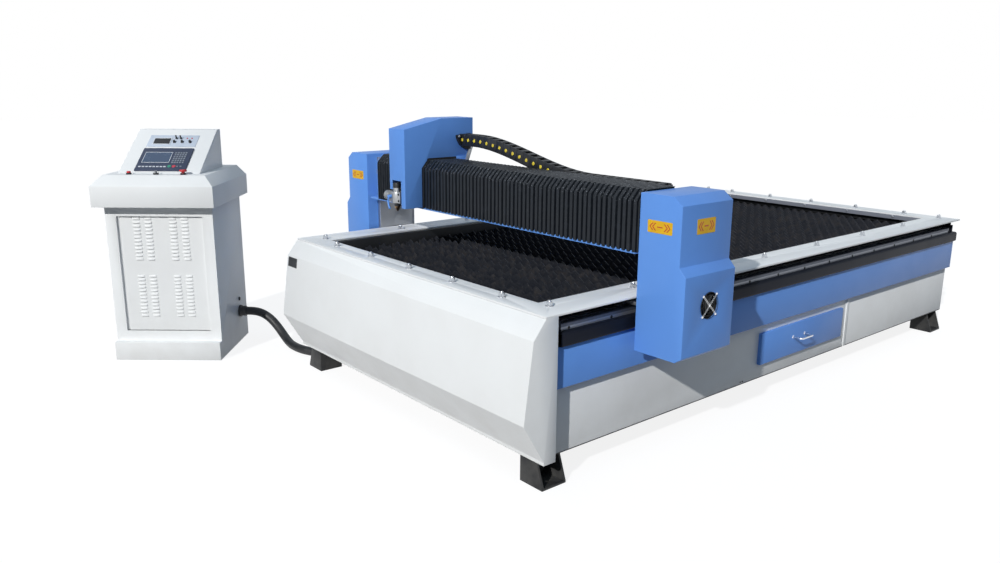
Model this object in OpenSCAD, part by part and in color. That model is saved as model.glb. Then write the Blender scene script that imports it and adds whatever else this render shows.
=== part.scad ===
// Plasma cutting table: a slatted bed, a gantry on racks with a bellows-covered cross beam,
// a lifting torch, and a control console beside it, joined by one hose.
// Millimetres. X runs across the bed, Y along it away from the front apron, Z up from the floor.
// The origin is the middle of the bed's four anchor holes, at floor level.

/* [Bed] */
// Width of the bed over its rim
bed_w = 2000; // [1900:10:2100]
// Length of the bed over its rim
bed_l = 3580; // [3300:10:3900]
// Height of the feet, from the floor to the frame
foot_h = 130; // [110:5:160]
// Height of the white lower panels
lower_h = 290; // [260:5:320]
// Height of the side beams behind the blue bands
side_beam_h = 168; // [150:2:190]
// Width of the side beams
side_beam_w = 174; // [166:2:190]
// Room under the rim for the rails, racks and pinions
drive_gap = 74; // [70:1:90]
// Thickness of the rim plates
rim_t = 8; // [6:1:12]
// Width of the rim along the sides
rim_side_w = 170; // [150:5:185]
// Width of the rim across the ends
rim_end_w = 115; // [100:5:130]
// Wall of the frame's tubes
frame_wall = 5; // [3:1:8]

/* [Slats] */
// Distance from slat to slat
slat_pitch = 90; // [75:5:120]
// Thickness of a slat
slat_t = 4; // [3:1:6]
// Height of a slat
slat_h = 100; // [85:5:110]
// Depth of the slat tips below the rim
slat_drop = 30; // [20:2:40]
// Distance from tooth to tooth along a slat
tooth_pitch = 60; // [40:5:90]
// Depth of the slat's teeth
tooth_h = 18; // [10:1:24]

/* [Rails and racks] */
// Width of the beams that carry the rails
rail_beam_w = 112; // [106:1:113]
// Height of the beams that carry the rails
rail_beam_h = 60; // [50:2:70]
// Width of a guide rail
rail_w = 23; // [20:1:26]
// Height of a guide rail
rail_h = 22; // [18:1:24]
// Width of a rack
rack_w = 30; // [25:1:32]
// Height of a rack over its teeth
rack_h = 29; // [24:1:32]
// Module of the racks and pinions
gear_m = 2.5; // [2:0.1:2.6]
// Teeth on a pinion
pinion_teeth = 16; // [15:1:17]
// Width of a bearing block
block_w = 48; // [44:1:52]
// Length of a bearing block
block_l = 60; // [50:2:70]
// Height of a bearing block's top above the rail's foot
block_h = 40; // [36:1:42]

/* [Gantry] */
// Distance of the towers' front from the bed's front at rest
gantry_park = 469; // [440:1:600]
// Depth of a tower
tower_d = 316; // [300:2:340]
// Width of a tower's upper half
tower_w = 207; // [195:1:230]
// Bulge of a tower's lower half
tower_bulge = 32; // [24:1:40]
// Rise of the towers above the rim
tower_rise = 430; // [410:5:450]
// Drop of the towers below the rim
tower_drop = 220; // [200:5:235]
// Gap from the rim's edge to a tower
tower_gap = 27; // [26:1:34]
// Wall of the sheet-metal covers
cover_t = 3; // [2:0.5:4]
// Thickness of the gantry's end plates
end_plate_t = 22; // [16:1:24]
// Height of the beam's underside above the rim
beam_clear = 190; // [180:5:210]
// Height of the gantry beam
beam_h = 210; // [200:2:216]
// Depth of the gantry beam
beam_d = 160; // [140:5:170]
// Folds in the long bellows
right_folds = 54; // [40:1:80]
// Folds in the short bellows
left_folds = 34; // [20:1:40]
// Depth of a bellows fold
fold_d = 25; // [15:1:28]
// Fan opening's radius
fan_r = 54; // [45:1:56]

/* [Carriage and torch] */
// Place of the carriage's middle across the bed at rest
carriage_x = -540; // [-580:5:-500]
// Width of the carriage
carriage_w = 144; // [140:1:160]
// Height of the carriage's front edge above the rim
carriage_front_h = 599; // [580:1:620]
// Height of the carriage's top above the rim
carriage_top_h = 650; // [630:1:670]
// Radius of the torch barrel
torch_r = 21; // [18:1:23]
// Length of the torch
torch_len = 150; // [130:5:170]
// Distance from link to link of the cable chain
link_pitch = 52; // [45:1:60]
// Height of the cable chain
link_h = 66; // [55:1:68]
// Width of the cable chain
link_w = 60; // [50:1:64]

/* [Drawer] */
// Length of the drawer front
drawer_l = 780; // [700:10:800]
// Height of the drawer front
drawer_h = 162; // [155:1:180]
// Depth of the drawer
drawer_d = 440; // [380:10:460]
// Length of the drawer handle
handle_l = 125; // [110:5:160]

/* [Console] */
// Width of the console's cabinet
console_w = 600; // [560:10:640]
// Depth of the console's cabinet
console_d = 500; // [460:10:540]
// Height of the cabinet up to the desk
cabinet_h = 888; // [850:2:920]
// Height of the plinth
plinth_h = 105; // [90:1:120]
// Width of the desk
desk_w = 672; // [650:2:720]
// Depth of the desk
desk_d = 630; // [610:10:650]
// Height of the desk's upright edge
desk_edge_h = 116; // [100:2:130]
// Height and depth of the desk's bevel
desk_bevel = 56; // [45:1:60]
// Width of the sloped head
head_w = 455; // [440:5:480]
// Rise of the head above the desk
head_h = 222; // [200:2:240]
// Run of the head's slope
head_run = 350; // [320:5:360]
// Turn of the console towards the operator, in degrees
console_turn = 50; // [40:1:60]

/* [Hidden] */
$fn = 48;
// Overrun of every cut, and the gaps that mating pieces keep
over = 1;
touch = 0.3;
run_fit = 0.05;
// Gap left at a butt weld, so that each tube stays its own solid
weld_gap = 0.2;

// Bed heights, from the floor up
half_w = bed_w / 2;
half_l = bed_l / 2;
front_y = -half_l;
band_z0 = foot_h + lower_h;
beam_z1 = band_z0 + side_beam_h;
rail_z = beam_z1 + rail_beam_h;
rim_z0 = rail_z + drive_gap;
rim_z1 = rim_z0 + rim_t;

// Bed widths, from the rim's edge inwards
band_set_in = 22;
band_t = 4;
panel_set_in = 28;
panel_t = 3;
leg_w = 100;
upper_w = 60;
sill_h = 50;
tie_h = 80;
band_x = half_w - band_set_in;
beam_x1 = band_x - band_t;
beam_x0 = beam_x1 - side_beam_w;
panel_x = band_x - panel_set_in;
leg_x1 = panel_x - panel_t;
leg_x0 = leg_x1 - leg_w;
rail_beam_x0 = band_x - rail_beam_w;
rail_beam_out = 16;
rail_beam_x1 = band_x + rail_beam_out;
frame_inset = 20;
frame_y = half_l - frame_inset;
open_x = half_w - rim_side_w;
open_y = half_l - rim_end_w;
cross_h = 60;
cross_w = 80;
cross_y_share = 0.29;
cross_y = bed_l * cross_y_share;

// Feet
foot_w = 134;
foot_l = 130;
foot_t = 10;
foot_slope = 42;
anchor_r = 9;
foot_x1 = leg_x1 + panel_t + foot_slope / 2;
foot_y1 = half_l - band_set_in;
anchor_x = foot_x1 - foot_slope;
anchor_y = foot_y1 - foot_l / 2;

// Rim bolts
bolt_r = 8;
head_r = 13;
head_t = 15;
washer_r = 17;
washer_t = 3;
stud_r_share = 0.85;
stud_h = 6;
side_bolts = 8;
end_bolts = 5;
bolt_side_in = 107;
bolt_end_in = 60;
side_bolt_y0 = rim_end_w - half_l;
side_bolt_y1 = half_l - bolt_end_in;
end_bolt_x = 670;

// Slats and what they rest in
slat_z1 = rim_z0 - slat_drop;
slat_z0 = slat_z1 - slat_h;
support_t = 12;
notch_h = 48;
support_under = 40;
inner_support_share = 0.34;
slot_play = 1;
slat_count = floor((2 * open_y - slat_pitch) / slat_pitch);
tray_t = 3;
tray_wall = 30;
tray_z = band_z0 + cross_h;
slat_x = beam_x0 - touch;

// Rails, racks and pinions
rail_in = 38;
rail_x = rail_beam_x0 + rail_in;
rack_set_in = 10;
rack_x1 = band_x - rack_set_in;
rack_x0 = rack_x1 - rack_w;
corner_r = 12;
stop_l = 12;
stop_h = 42;
rail_front_in = 95;
rail_front = front_y + rail_front_in;
rail_rear = half_l - stop_l;
rack_pieces = 7;
addendum_share = 0.8;
dedendum_share = 1.15;
backlash = 0.5;
pressure_angle = 20;
pitch_r = gear_m * pinion_teeth / 2;
tooth_step = PI * gear_m;
rack_y0 = rail_front + stop_l;
rack_y1 = rail_rear - stop_l;
rack_gap = 0.3;
rack_len = floor((rack_y1 - rack_y0) / rack_pieces / tooth_step) * tooth_step;
rack_pitch_z = rail_z + rack_h - addendum_share * gear_m;
pinion_z = rack_pitch_z + pitch_r;
shaft_r = 8;

// Front apron: its outline in Y and Z, from the rim down
apron_t = 4;
apron_back = 64;
apron_top_out = 62;
apron_low_out = 106;
apron_kink_drop = 84;
apron_low_drop = 412;
apron_lip = 15;
apron_z0 = foot_h - panel_t;
apron_path = [
    [front_y, rim_z0],
    [front_y - apron_top_out, rim_z1 - apron_kink_drop],
    [front_y - apron_low_out, rim_z1 - apron_low_drop],
    [front_y, apron_z0 + apron_lip],
    [front_y, apron_z0]
];
panel_y0 = front_y + apron_back;
seam_in = 2335;
seam_gap = 1;
seam_y = front_y + seam_in;

// Drawer
drawer_in = 1493;
drawer_up = 73;
drawer_y0 = front_y + drawer_in;
drawer_z0 = foot_h + drawer_up;
drawer_front_t = 18;
drawer_bevel = 9;
drawer_wall = 3;
drawer_lap = 14;
runner_t = 4;
runner_w = 24;
runner_h = 60;
handle_bar_r = 6;
handle_post_r = 5;
handle_post_in = 8;
handle_out = 53;
handle_aside = 51;
handle_rise = 13;
drawer_y1 = drawer_y0 + drawer_l;
drawer_z1 = drawer_z0 + drawer_h;
drawer_box_y0 = drawer_y0 + drawer_lap + touch;
drawer_box_y1 = drawer_y1 - drawer_lap - touch;
drawer_box_z0 = drawer_z0 + drawer_lap + touch;
drawer_box_z1 = drawer_z1 - drawer_lap - touch;
handle_y = (drawer_y0 + drawer_y1) / 2 - handle_aside;
handle_z = (drawer_z0 + drawer_z1) / 2 + handle_rise;

// Gantry towers and end plates
gy0 = front_y + gantry_park;
gy1 = gy0 + tower_d;
gy = (gy0 + gy1) / 2;
tower_x0 = half_w + tower_gap;
tower_x1 = tower_x0 + tower_w;
tower_x2 = tower_x1 + tower_bulge;
tower_z0 = rim_z1 - tower_drop;
tower_z1 = rim_z1 + tower_rise;
shoulder_up = 126;
shoulder_z = rim_z1 + shoulder_up;
shoulder_h = 34;
top_chamfer_w = 45;
top_chamfer_h = 33;
low_chamfer_h = 22;
tower_path = [
    [tower_x0, tower_z0],
    [tower_x1, tower_z0],
    [tower_x2, tower_z0 + low_chamfer_h],
    [tower_x2, shoulder_z],
    [tower_x1, shoulder_z + shoulder_h],
    [tower_x1, tower_z1 - top_chamfer_h],
    [tower_x1 - top_chamfer_w, tower_z1],
    [tower_x0, tower_z1]
];
plate_x0 = tower_x0 - end_plate_t;
plate_in = 20;
plate_front = 67;
plate_y0 = gy0 + plate_front;
plate_y1 = gy1 - plate_in / 2;
plate_z0 = rail_z - plate_in / 2;
plate_drop = 20;
plate_z1 = tower_z1 - plate_drop;
shelf_t = 14;
block_gap = 6;
block_y_share = 0.3;
block_dy = tower_d * block_y_share;
window_w = 130;
window_h = 160;
motor_w = 90;
gearbox_l = 60;
motor_l = 105;
motor_small_w = 76;
pinion_side = 0.5;
fan_drop = 5;
fan_z = rim_z1 - fan_drop;

// Fan
fan_frame_w = 116;
fan_frame_t = 24;
fan_frame_wall = 2;
fan_hub_r = 20;
fan_pin_r = 3;
fan_tip_gap = 3;
fan_blades = 7;
blade_t = 2;
blade_w = 14;
blade_tilt = 38;
spider_t = 4;
spider_w = 6;
guard_wire_r = 1.6;
guard_rings = 3;
guard_arm_w = 5;

// Gantry beam, its rails and rack, the bellows and the chain tray
beam_set_back = 71;
by0 = gy0 + beam_set_back;
by1 = by0 + beam_d;
bz0 = rim_z1 + beam_clear;
bz1 = bz0 + beam_h;
beam_wall = 6;
ledge_t = 12;
ledge_in = 6;
beam_rail_low_share = 0.214;
beam_rail_high_share = 0.881;
beam_rail_z = [bz0 + beam_h * beam_rail_low_share, bz0 + beam_h * beam_rail_high_share];
beam_rail_end = 15;
beam_rack_z_share = 0.6;
beam_rack_z = bz0 + beam_h * beam_rack_z_share;
beam_rack_l = floor((2 * plate_x0 - 2 * beam_rail_end) / tooth_step) * tooth_step;
x_pinion_z = beam_rack_z + addendum_share * gear_m - pitch_r;
tray_floor_t = 3;
chain_gap = 12;
tray_lip = 30;
tray_z1 = bz1 - tray_lip;
tray_y1 = by1 + chain_gap + link_w + chain_gap;
bellows_gap = 0.5;
bellows_top_gap = 12;
bellows_chamfer = 42;
bellows_back = 8;
bellows_z1 = bz1 + fold_d + bellows_top_gap;
stop_in = 94;
stop_t = 6;
bellows_stop = stop_in - plate_x0;

// Carriage: a saddle-shaped cover over a plate on four blocks
cx0 = carriage_x - carriage_w / 2;
cx1 = carriage_x + carriage_w / 2;
carriage_ahead = 111;
carriage_behind = 334;
ridge_back = 126;
cfy = gy0 - carriage_ahead;
cby = gy0 + carriage_behind;
cz0 = bz0;
bridge_gap = 8;
cz_bridge = bellows_z1 + bridge_gap;
back_cut_h = 53;
back_cut_d = 25;
plate_t = 15;
cpy1 = by0 - block_h;
cpy0 = cpy1 - plate_t;
carriage_path = [
    [cfy, cz0],
    [cfy, rim_z1 + carriage_front_h],
    [gy0 + ridge_back, rim_z1 + carriage_top_h],
    [cby, rim_z1 + carriage_top_h],
    [cby, cz_bridge + back_cut_h],
    [cby - back_cut_d, cz_bridge],
    [cpy1, cz_bridge],
    [cpy1, cz0]
];
notch_w = 106;
notch_up = 92;
notch_d = 72;
notch_z = cz0 + notch_up;
slot_in = 24;
slot_up = 142;
notch_y = cfy + notch_d;
block_dx = 36;
x_motor_w = 56;
x_motor_l = 80;
x_motor_gap = 2;
x_motor_x = cx1 - cover_t - x_motor_gap - x_motor_w / 2;
x_pinion_w = 20;
x_shaft_r = 6;
lift_in = 42;
lift_back = 76;
lift_r = 8;
lift_rise = 300;
lift_foot = 8;
lift_shelf_t = 10;
lift_shelf_front = 16;
lift_x = cx0 + lift_in;
lift_y = cfy + lift_back;
shelf_y0 = lift_y - lift_shelf_front;
lift_top = cz0 + lift_rise;
lift_low = cz0 + lift_foot;
lift_motor_w = 56;
lift_motor_h = 80;
guide_w = 12;
guide_d = 8;
slide_w = 40;
slide_t = 12;
slide_front = 32;
slide_up = 35;
nut_up = 225;
nut_h = 40;
slide_y0 = lift_y - slide_front;
slide_z0 = cz0 + slide_up;
nut_z0 = cz0 + nut_up;

// Torch, its clamp and the clamp's lever
torch_in = 8;
torch_back = 12;
torch_up = 130;
torch_x = lift_x + torch_in;
torch_y = cfy + torch_back;
torch_z1 = cz0 + torch_up;
torch_z0 = torch_z1 - torch_len;
nozzle_h = 26;
nozzle_r = 6;
body_h = 34;
clamp_h = 60;
clamp_down = 11;
clamp_z0 = slide_z0 - clamp_down;
clamp_out = 9;
clamp_gap = 8;
clamp_x = [cx0 - clamp_out, cx0 + notch_w - clamp_gap];
clamp_wall = 8;
clamp_in = 4;
lever_r = 6;
lever_l = 62;
lever_out = 34;
lever_x = lift_x - lever_out;
lever_boss_r = 10;
lever_t = 14;
lever_end_share = 0.8;
grip_l = 47;
grip_r = 26;
grip_ribs = 4;
rib_share = 0.6;
grip_groove = 2;
grip_x0 = clamp_x[0] - grip_l;
grip_step = grip_l / grip_ribs;

// Cable chain: it leaves the carriage high and sinks into the tray
chain_y0 = by1 + chain_gap;
chain_end_in = 45;
chain_up = 90;
chain_x1 = plate_x0 - chain_end_in;
chain_hi = cz_bridge + chain_up;
chain_lo = tray_z1 + link_h / 2;
chain_run = 830;
chain_start = 118;
link_play = 2;
link_groove = 9;
link_count = floor((chain_x1 - cx1) / link_pitch);

// Console: places in its own frame, x across, y away from the operator
wall = 3;
plinth_out = 40;
desk_out = 35;
frame_border = 60;
panel_recess = 15;
cb0 = plinth_out;
cb1 = cb0 + console_d;
desk_z0 = cabinet_h;
desk_z1 = desk_z0 + desk_edge_h + desk_bevel;
head_y0 = 90;
head_top_d = 50;
slope_l = norm([head_run, head_h]);
slope_a = atan2(head_h, head_run);
head_path = [
    [head_y0, desk_z1],
    [head_y0 + head_run, desk_z1 + head_h],
    [head_y0 + head_run + head_top_d, desk_z1 + head_h],
    [head_y0 + head_run + head_top_d, desk_z1]
];
louvre_rows = 24;
louvre_w = 42;
louvre_h = 7;
louvre_step = 21;
louvre_base = 86;
louvre_split = 78;
louvre_x_shares = [-0.225, -0.115, 0.115, 0.225];
door_gap = 2;
hinge_r = 4;
hinge_out = 8;
lug = 16;
hinge_z_shares = [0.2, 0.8];
hinge_l = 60;

// Console panels and controls, as shares of the panels that carry them
ip_w = 282;
ip_t = 3;
ip_shares = [0.59, 0.85];
cp_w = 286;
cp_t = 8;
cp_shares = [0.05, 0.54];
glass_t = 1;
lcd_x_shares = [-0.38, -0.05];
lcd_y_shares = [0.22, 0.7];
screen_x_shares = [-0.41, 0.11];
screen_y_shares = [0.35, 0.79];
knob_x_shares = [0.042, 0.2, 0.363];
knob_y_share = 0.38;
knob_r = 9;
knob_h = 14;
toggle_x_shares = [0.056, 0.147];
toggle_y_share = 0.69;
toggle_r = 3;
toggle_l = 20;
toggle_nut_r = 6;
toggle_nut_h = 4;
switch_x_shares = [-0.33, 0, 0.33];
switch_y_share = 0.5;
collar_r = 15;
collar_h = 9;
button_r = 11;
button_h = 9;
button_travel = 4;
stop_r = 20;
stop_neck_r = 9;
stop_neck_h = 8;
stop_cap_h = 10;
selector_h = 12;
ip_y0 = slope_l * ip_shares[0];
ip_y1 = slope_l * ip_shares[1];
cp_y0 = slope_l * cp_shares[0];
cp_y1 = slope_l * cp_shares[1];
switch_y = desk_bevel - desk_out + (head_y0 - desk_bevel + desk_out) * switch_y_share;

// Hose from the console to the bed: its middle line, chosen along the floor
hose_r = 25;
hose_sides = 12;
gland_r = 36;
gland_t = 14;
gland_neck_r = 31;
gland_neck = 28;
gland_y = 400;
gland_z = 185;
bed_gland_x = -800;
bed_gland_z = foot_h + tie_h / 2;
hose_steps = 2;
hose_points = [
    [-1644, -1837, 185], [-1600, -1784, 185], [-1543, -1742, 158], [-1480, -1716, 105],
    [-1410, -1706, 52], [-1340, -1708, 26], [-1270, -1714, 26], [-1190, -1710, 26],
    [-1110, -1682, 26], [-1035, -1638, 26], [-960, -1582, 26], [-895, -1520, 26],
    [-845, -1455, 26], [-815, -1390, 50], [-803, -1325, 98], [-800, -1257, 146],
    [-800, -1188, 170], [-800, -1120, 170]
];

// The console stands where the gland on its side meets the hose
gland_reach = console_w / 2 + gland_t + gland_neck - touch;
console_x = hose_points[0][0] - gland_reach * cos(console_turn) + gland_y * sin(console_turn);
console_y = hose_points[0][1] - gland_reach * sin(console_turn) - gland_y * cos(console_turn);

// Shared shapes: a box between two ranges on each axis, and profiles drawn out along an axis
function grow(r, d) = [r[0] - d, r[1] + d];
function around(c, w) = [c - w / 2, c + w / 2];
function share_of(r, s) = r[0] + (r[1] - r[0]) * s;
function turn2(p, a) = [p[0] * cos(a) - p[1] * sin(a), p[0] * sin(a) + p[1] * cos(a)];

module span(x, y, z) {
    translate([x[0], y[0], z[0]])
        cube([x[1] - x[0], y[1] - y[0], z[1] - z[0]]);
}

// A rectangular tube that is open at both ends along one axis, 0 for X, 1 for Y, 2 for Z
module tube(x, y, z, t, axis) {
    difference() {
        span(x, y, z);
        span(grow(x, axis == 0 ? over : -t),
            grow(y, axis == 1 ? over : -t),
            grow(z, axis == 2 ? over : -t));
    }
}

module along_x(x) {
    translate([x[0], 0, 0])
        rotate([90, 0, 90])
            linear_extrude(x[1] - x[0])
                children();
}

module along_y(y) {
    translate([0, y[1], 0])
        rotate([90, 0, 0])
            linear_extrude(y[1] - y[0])
                children();
}

module rod_x(x, y, z, r) {
    translate([x[0], y, z])
        rotate([0, 90, 0])
            cylinder(r = r, h = x[1] - x[0]);
}

module rod_y(x, y, z, r) {
    translate([x, y[1], z])
        rotate([90, 0, 0])
            cylinder(r = r, h = y[1] - y[0]);
}

module rod_z(x, y, z, r) {
    translate([x, y, z[0]])
        cylinder(r = r, h = z[1] - z[0]);
}

module both_sides() {
    children();
    mirror([1, 0, 0])
        children();
}

module both_ends() {
    children();
    mirror([0, 1, 0])
        children();
}

// Offset of an outline to its left by a sheet's thickness
function normal(a, b) = let (d = (b - a) / norm(b - a)) [-d[1], d[0]];
function mitre(n, m) = (n + m) / (1 + n * m);
function beside(p, t) = [
    for (i = [0 : len(p) - 1])
        p[i] + t * (i == 0 ? normal(p[0], p[1])
            : i == len(p) - 1 ? normal(p[i - 1], p[i])
            : mitre(normal(p[i - 1], p[i]), normal(p[i], p[i + 1])))
];
function inside(p, t) = [
    for (i = [0 : len(p) - 1])
        let (a = p[(i + len(p) - 1) % len(p)], b = p[i], c = p[(i + 1) % len(p)])
            b + t * mitre(normal(a, b), normal(b, c))
];
function flip(p) = [for (i = [len(p) - 1 : -1 : 0]) p[i]];
function sheet(p, t) = concat(p, flip(beside(p, t)));

// A closed skin over rings of points, each ring as long as the next
module skin(rings) {
    n = len(rings[0]);
    k = len(rings);
    polyhedron(
        points = [for (r = rings) each r],
        faces = concat(
            [for (i = [0 : n / 2 - 2]) [n - 1 - i, n - 2 - i, i + 1, i]],
            [for (j = [0 : k - 2], i = [0 : n - 1]) each [
                [j * n + i, j * n + (i + 1) % n, (j + 1) * n + (i + 1) % n],
                [j * n + i, (j + 1) * n + (i + 1) % n, (j + 1) * n + i]
            ]],
            [for (i = [0 : n / 2 - 2]) [for (c = [i, i + 1, n - 2 - i, n - 1 - i]) (k - 1) * n + c]]
        )
    );
}

// Rack teeth along a line, tips up, and the outline of a pinion with involute flanks
function rack_outline(len, base, trim) = let (
    n = round(len / tooth_step),
    tip = addendum_share * gear_m,
    root = dedendum_share * gear_m,
    lean = tan(pressure_angle),
    half = tooth_step / 4 - backlash / 2
) concat(
    [[trim, -base], [trim, -root]],
    [for (i = [0 : n - 1]) let (c = (i + 0.5) * tooth_step) each [
        [c - half - root * lean, -root],
        [c - half + tip * lean, tip],
        [c + half - tip * lean, tip],
        [c + half + root * lean, -root]
    ]],
    [[len - trim, -root], [len - trim, -base]]
);
function involute(rb, r) = let (t = sqrt(max(0, (r / rb) ^ 2 - 1))) t * 180 / PI - atan(t);
function pinion_outline() = let (
    rb = pitch_r * cos(pressure_angle),
    ra = pitch_r + addendum_share * gear_m,
    rf = pitch_r - dedendum_share * gear_m,
    half = 90 / pinion_teeth - backlash / 2 / pitch_r * 180 / PI,
    top = half + involute(rb, pitch_r),
    steps = 4
) [for (i = [0 : pinion_teeth - 1]) let (c = 360 / pinion_teeth * i) each concat(
    [turn2([rf, 0], c - top)],
    [for (k = [0 : steps]) let (r = rb + (ra - rb) * k / steps)
        turn2([r, 0], c - top + involute(rb, r))],
    [for (k = [steps : -1 : 0]) let (r = rb + (ra - rb) * k / steps)
        turn2([r, 0], c + top - involute(rb, r))],
    [turn2([rf, 0], c + top)]
)];

// Bed: welded frame, feet, panels and rim
module bed_frame() {
    leg_z = grow([foot_h + sill_h, band_z0], -weld_gap);
    color("#1d1e20") {
        both_sides() {
            tube([beam_x0, beam_x1], [-frame_y, frame_y], [band_z0, beam_z1], frame_wall, 1);
            tube([beam_x0, beam_x0 + upper_w], [-frame_y, frame_y],
                [beam_z1 + weld_gap, rim_z0], frame_wall, 1);
            tube([leg_x0, leg_x1], [-frame_y, frame_y], [foot_h, foot_h + sill_h], frame_wall, 1);
            both_ends()
                tube([leg_x0, leg_x1], [frame_y - leg_w, frame_y], leg_z, frame_wall, 2);
        }
        both_ends() {
            tube(grow([-beam_x0, beam_x0], -weld_gap), [frame_y - upper_w, frame_y],
                [rim_z0 - upper_w, rim_z0], frame_wall, 0);
            tube(grow([-beam_x0, beam_x0], -weld_gap), around(cross_y, cross_w),
                [band_z0, tray_z], frame_wall, 0);
            tube(grow([-leg_x0, leg_x0], -weld_gap), around(cross_y, cross_w),
                [foot_h, foot_h + tie_h], frame_wall, 0);
        }
    }
}

module foot() {
    x = [foot_x1 - foot_w, foot_x1];
    y = [foot_y1 - foot_l, foot_y1];
    difference() {
        union() {
            span(x, y, [0, foot_t]);
            span([x[0], x[0] + foot_t], y, [foot_t, foot_h]);
            for (y0 = [y[0], y[1] - foot_t])
                along_y([y0, y0 + foot_t])
                    polygon([
                        [x[0] + foot_t, foot_t], [x[1], foot_t],
                        [x[1] - foot_slope, foot_h], [x[0] + foot_t, foot_h]
                    ]);
            span([x[0], x[1] - foot_slope], y, [foot_h - foot_t, foot_h]);
        }
        rod_z(anchor_x, anchor_y, [-over, foot_t + over], anchor_r);
    }
}

module feet() {
    color("#161719")
        both_sides()
            both_ends()
                foot();
}

module front_apron() {
    color("#eeeeec") {
        along_x([-half_w + apron_t, half_w - apron_t])
            polygon(sheet(apron_path, apron_t));
        both_sides()
            along_x([half_w - apron_t, half_w])
                polygon(concat(apron_path, [[panel_y0, apron_z0], [panel_y0, rim_z0]]));
    }
}

// White sheets along both sides below the bands, with a seam, and one across the rear
module side_panels() {
    color("#dfe1e3") {
        both_sides() {
            span([leg_x1, panel_x], [seam_y + seam_gap, half_l - panel_t], [foot_h, band_z0]);
        }
        mirror([1, 0, 0])
            span([leg_x1, panel_x], [panel_y0, seam_y], [foot_h, band_z0]);
        difference() {
            span([leg_x1, panel_x], [panel_y0, seam_y], [foot_h, band_z0]);
            span(grow([leg_x1, panel_x], over), grow([drawer_y0, drawer_y1], -drawer_lap),
                grow([drawer_z0, drawer_z1], -drawer_lap));
        }
        span([-panel_x, panel_x], [half_l - panel_t, half_l], [foot_h, rim_z0]);
    }
}

module blue_bands() {
    color("#3f6fb5")
        both_sides() {
            span([beam_x1, band_x], [panel_y0, half_l - panel_t], [band_z0 - band_t, beam_z1]);
            span([panel_x, beam_x1], [panel_y0, half_l - panel_t], [band_z0 - band_t, band_z0]);
        }
}

function bolt_spots() = concat(
    [for (sx = [-1, 1], i = [0 : side_bolts - 1])
        [sx * (half_w - bolt_side_in),
            side_bolt_y0 + (side_bolt_y1 - side_bolt_y0) * i / (side_bolts - 1)]],
    [for (sy = [-1, 1], i = [0 : end_bolts - 1])
        [-end_bolt_x + 2 * end_bolt_x * i / (end_bolts - 1), sy * (half_l - bolt_end_in)]]
);

module rim() {
    color("#e9eced")
        difference() {
            union() {
                both_sides()
                    span([open_x, half_w], [-half_l, half_l], [rim_z0, rim_z1]);
                both_ends()
                    span([-open_x, open_x], [open_y, half_l], [rim_z0, rim_z1]);
            }
            for (p = bolt_spots())
                rod_z(p[0], p[1], [rim_z0 - over, rim_z1 + over], bolt_r + touch);
        }
}

module rim_bolts() {
    color("#c9ccd0")
        for (p = bolt_spots()) {
            rod_z(p[0], p[1], [rim_z0, rim_z1], bolt_r);
            rod_z(p[0], p[1], [rim_z1, rim_z1 + washer_t], washer_r);
            translate([p[0], p[1], rim_z1 + washer_t])
                cylinder(r = head_r, h = head_t, $fn = 6);
            rod_z(p[0], p[1], [rim_z1 + washer_t, rim_z1 + washer_t + head_t + stud_h], bolt_r * stud_r_share);
        }
}

// Slats stand in notched bars over a sheet tray
function slat_y(i) = (i - (slat_count - 1) / 2) * slat_pitch;

module notched_bar(x, z0, end) {
    z1 = slat_z0 + notch_h;
    along_x(x)
        polygon(concat(
            [[-end, z0], [end, z0], [end, z1]],
            [for (i = [slat_count - 1 : -1 : 0]) each [
                [slat_y(i) + slat_t / 2 + slot_play, z1],
                [slat_y(i) + slat_t / 2 + slot_play, slat_z0],
                [slat_y(i) - slat_t / 2 - slot_play, slat_z0],
                [slat_y(i) - slat_t / 2 - slot_play, z1]
            ]],
            [[-end, z1]]
        ));
}

module slat_supports() {
    color("#2a2725")
        both_sides() {
            notched_bar([beam_x0 - support_t, beam_x0], slat_z0 - support_under, open_y);
            notched_bar(around(beam_x0 * inner_support_share, support_t), tray_z + tray_t,
                open_y - tray_t - touch);
        }
}

module slats() {
    n = floor(2 * slat_x / tooth_pitch);
    color("#1f1d1c")
        for (i = [0 : slat_count - 1])
            along_y(around(slat_y(i), slat_t))
                polygon(concat(
                    [[slat_x, slat_z0], [slat_x, slat_z1 - tooth_h]],
                    [for (k = [n - 1 : -1 : 0]) let (c = (k + 0.5 - n / 2) * tooth_pitch) each [
                        [c + tooth_pitch / 2, slat_z1 - tooth_h],
                        [c, slat_z1]
                    ]],
                    [[-n / 2 * tooth_pitch, slat_z1 - tooth_h]],
                    [[-slat_x, slat_z1 - tooth_h], [-slat_x, slat_z0]]
                ));
}

module slag_tray() {
    color("#3a3835") {
        span([-beam_x0, beam_x0], [-open_y, open_y], [tray_z, tray_z + tray_t]);
        both_ends()
            span([-beam_x0, beam_x0], [open_y - tray_t, open_y], [tray_z + tray_t, tray_z + tray_wall]);
    }
}

// Side drive: beams with rounded corners, guide rails, racks in lengths, and end stops
module round_bar(x, z, r) {
    union() {
        translate([x[0] + r, z[0]])
            square([x[1] - x[0] - 2 * r, z[1] - z[0]]);
        translate([x[0], z[0] + r])
            square([x[1] - x[0], z[1] - z[0] - 2 * r]);
        for (cx = [x[0] + r, x[1] - r], cz = [z[0] + r, z[1] - r])
            translate([cx, cz])
                circle(r);
    }
}

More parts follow.
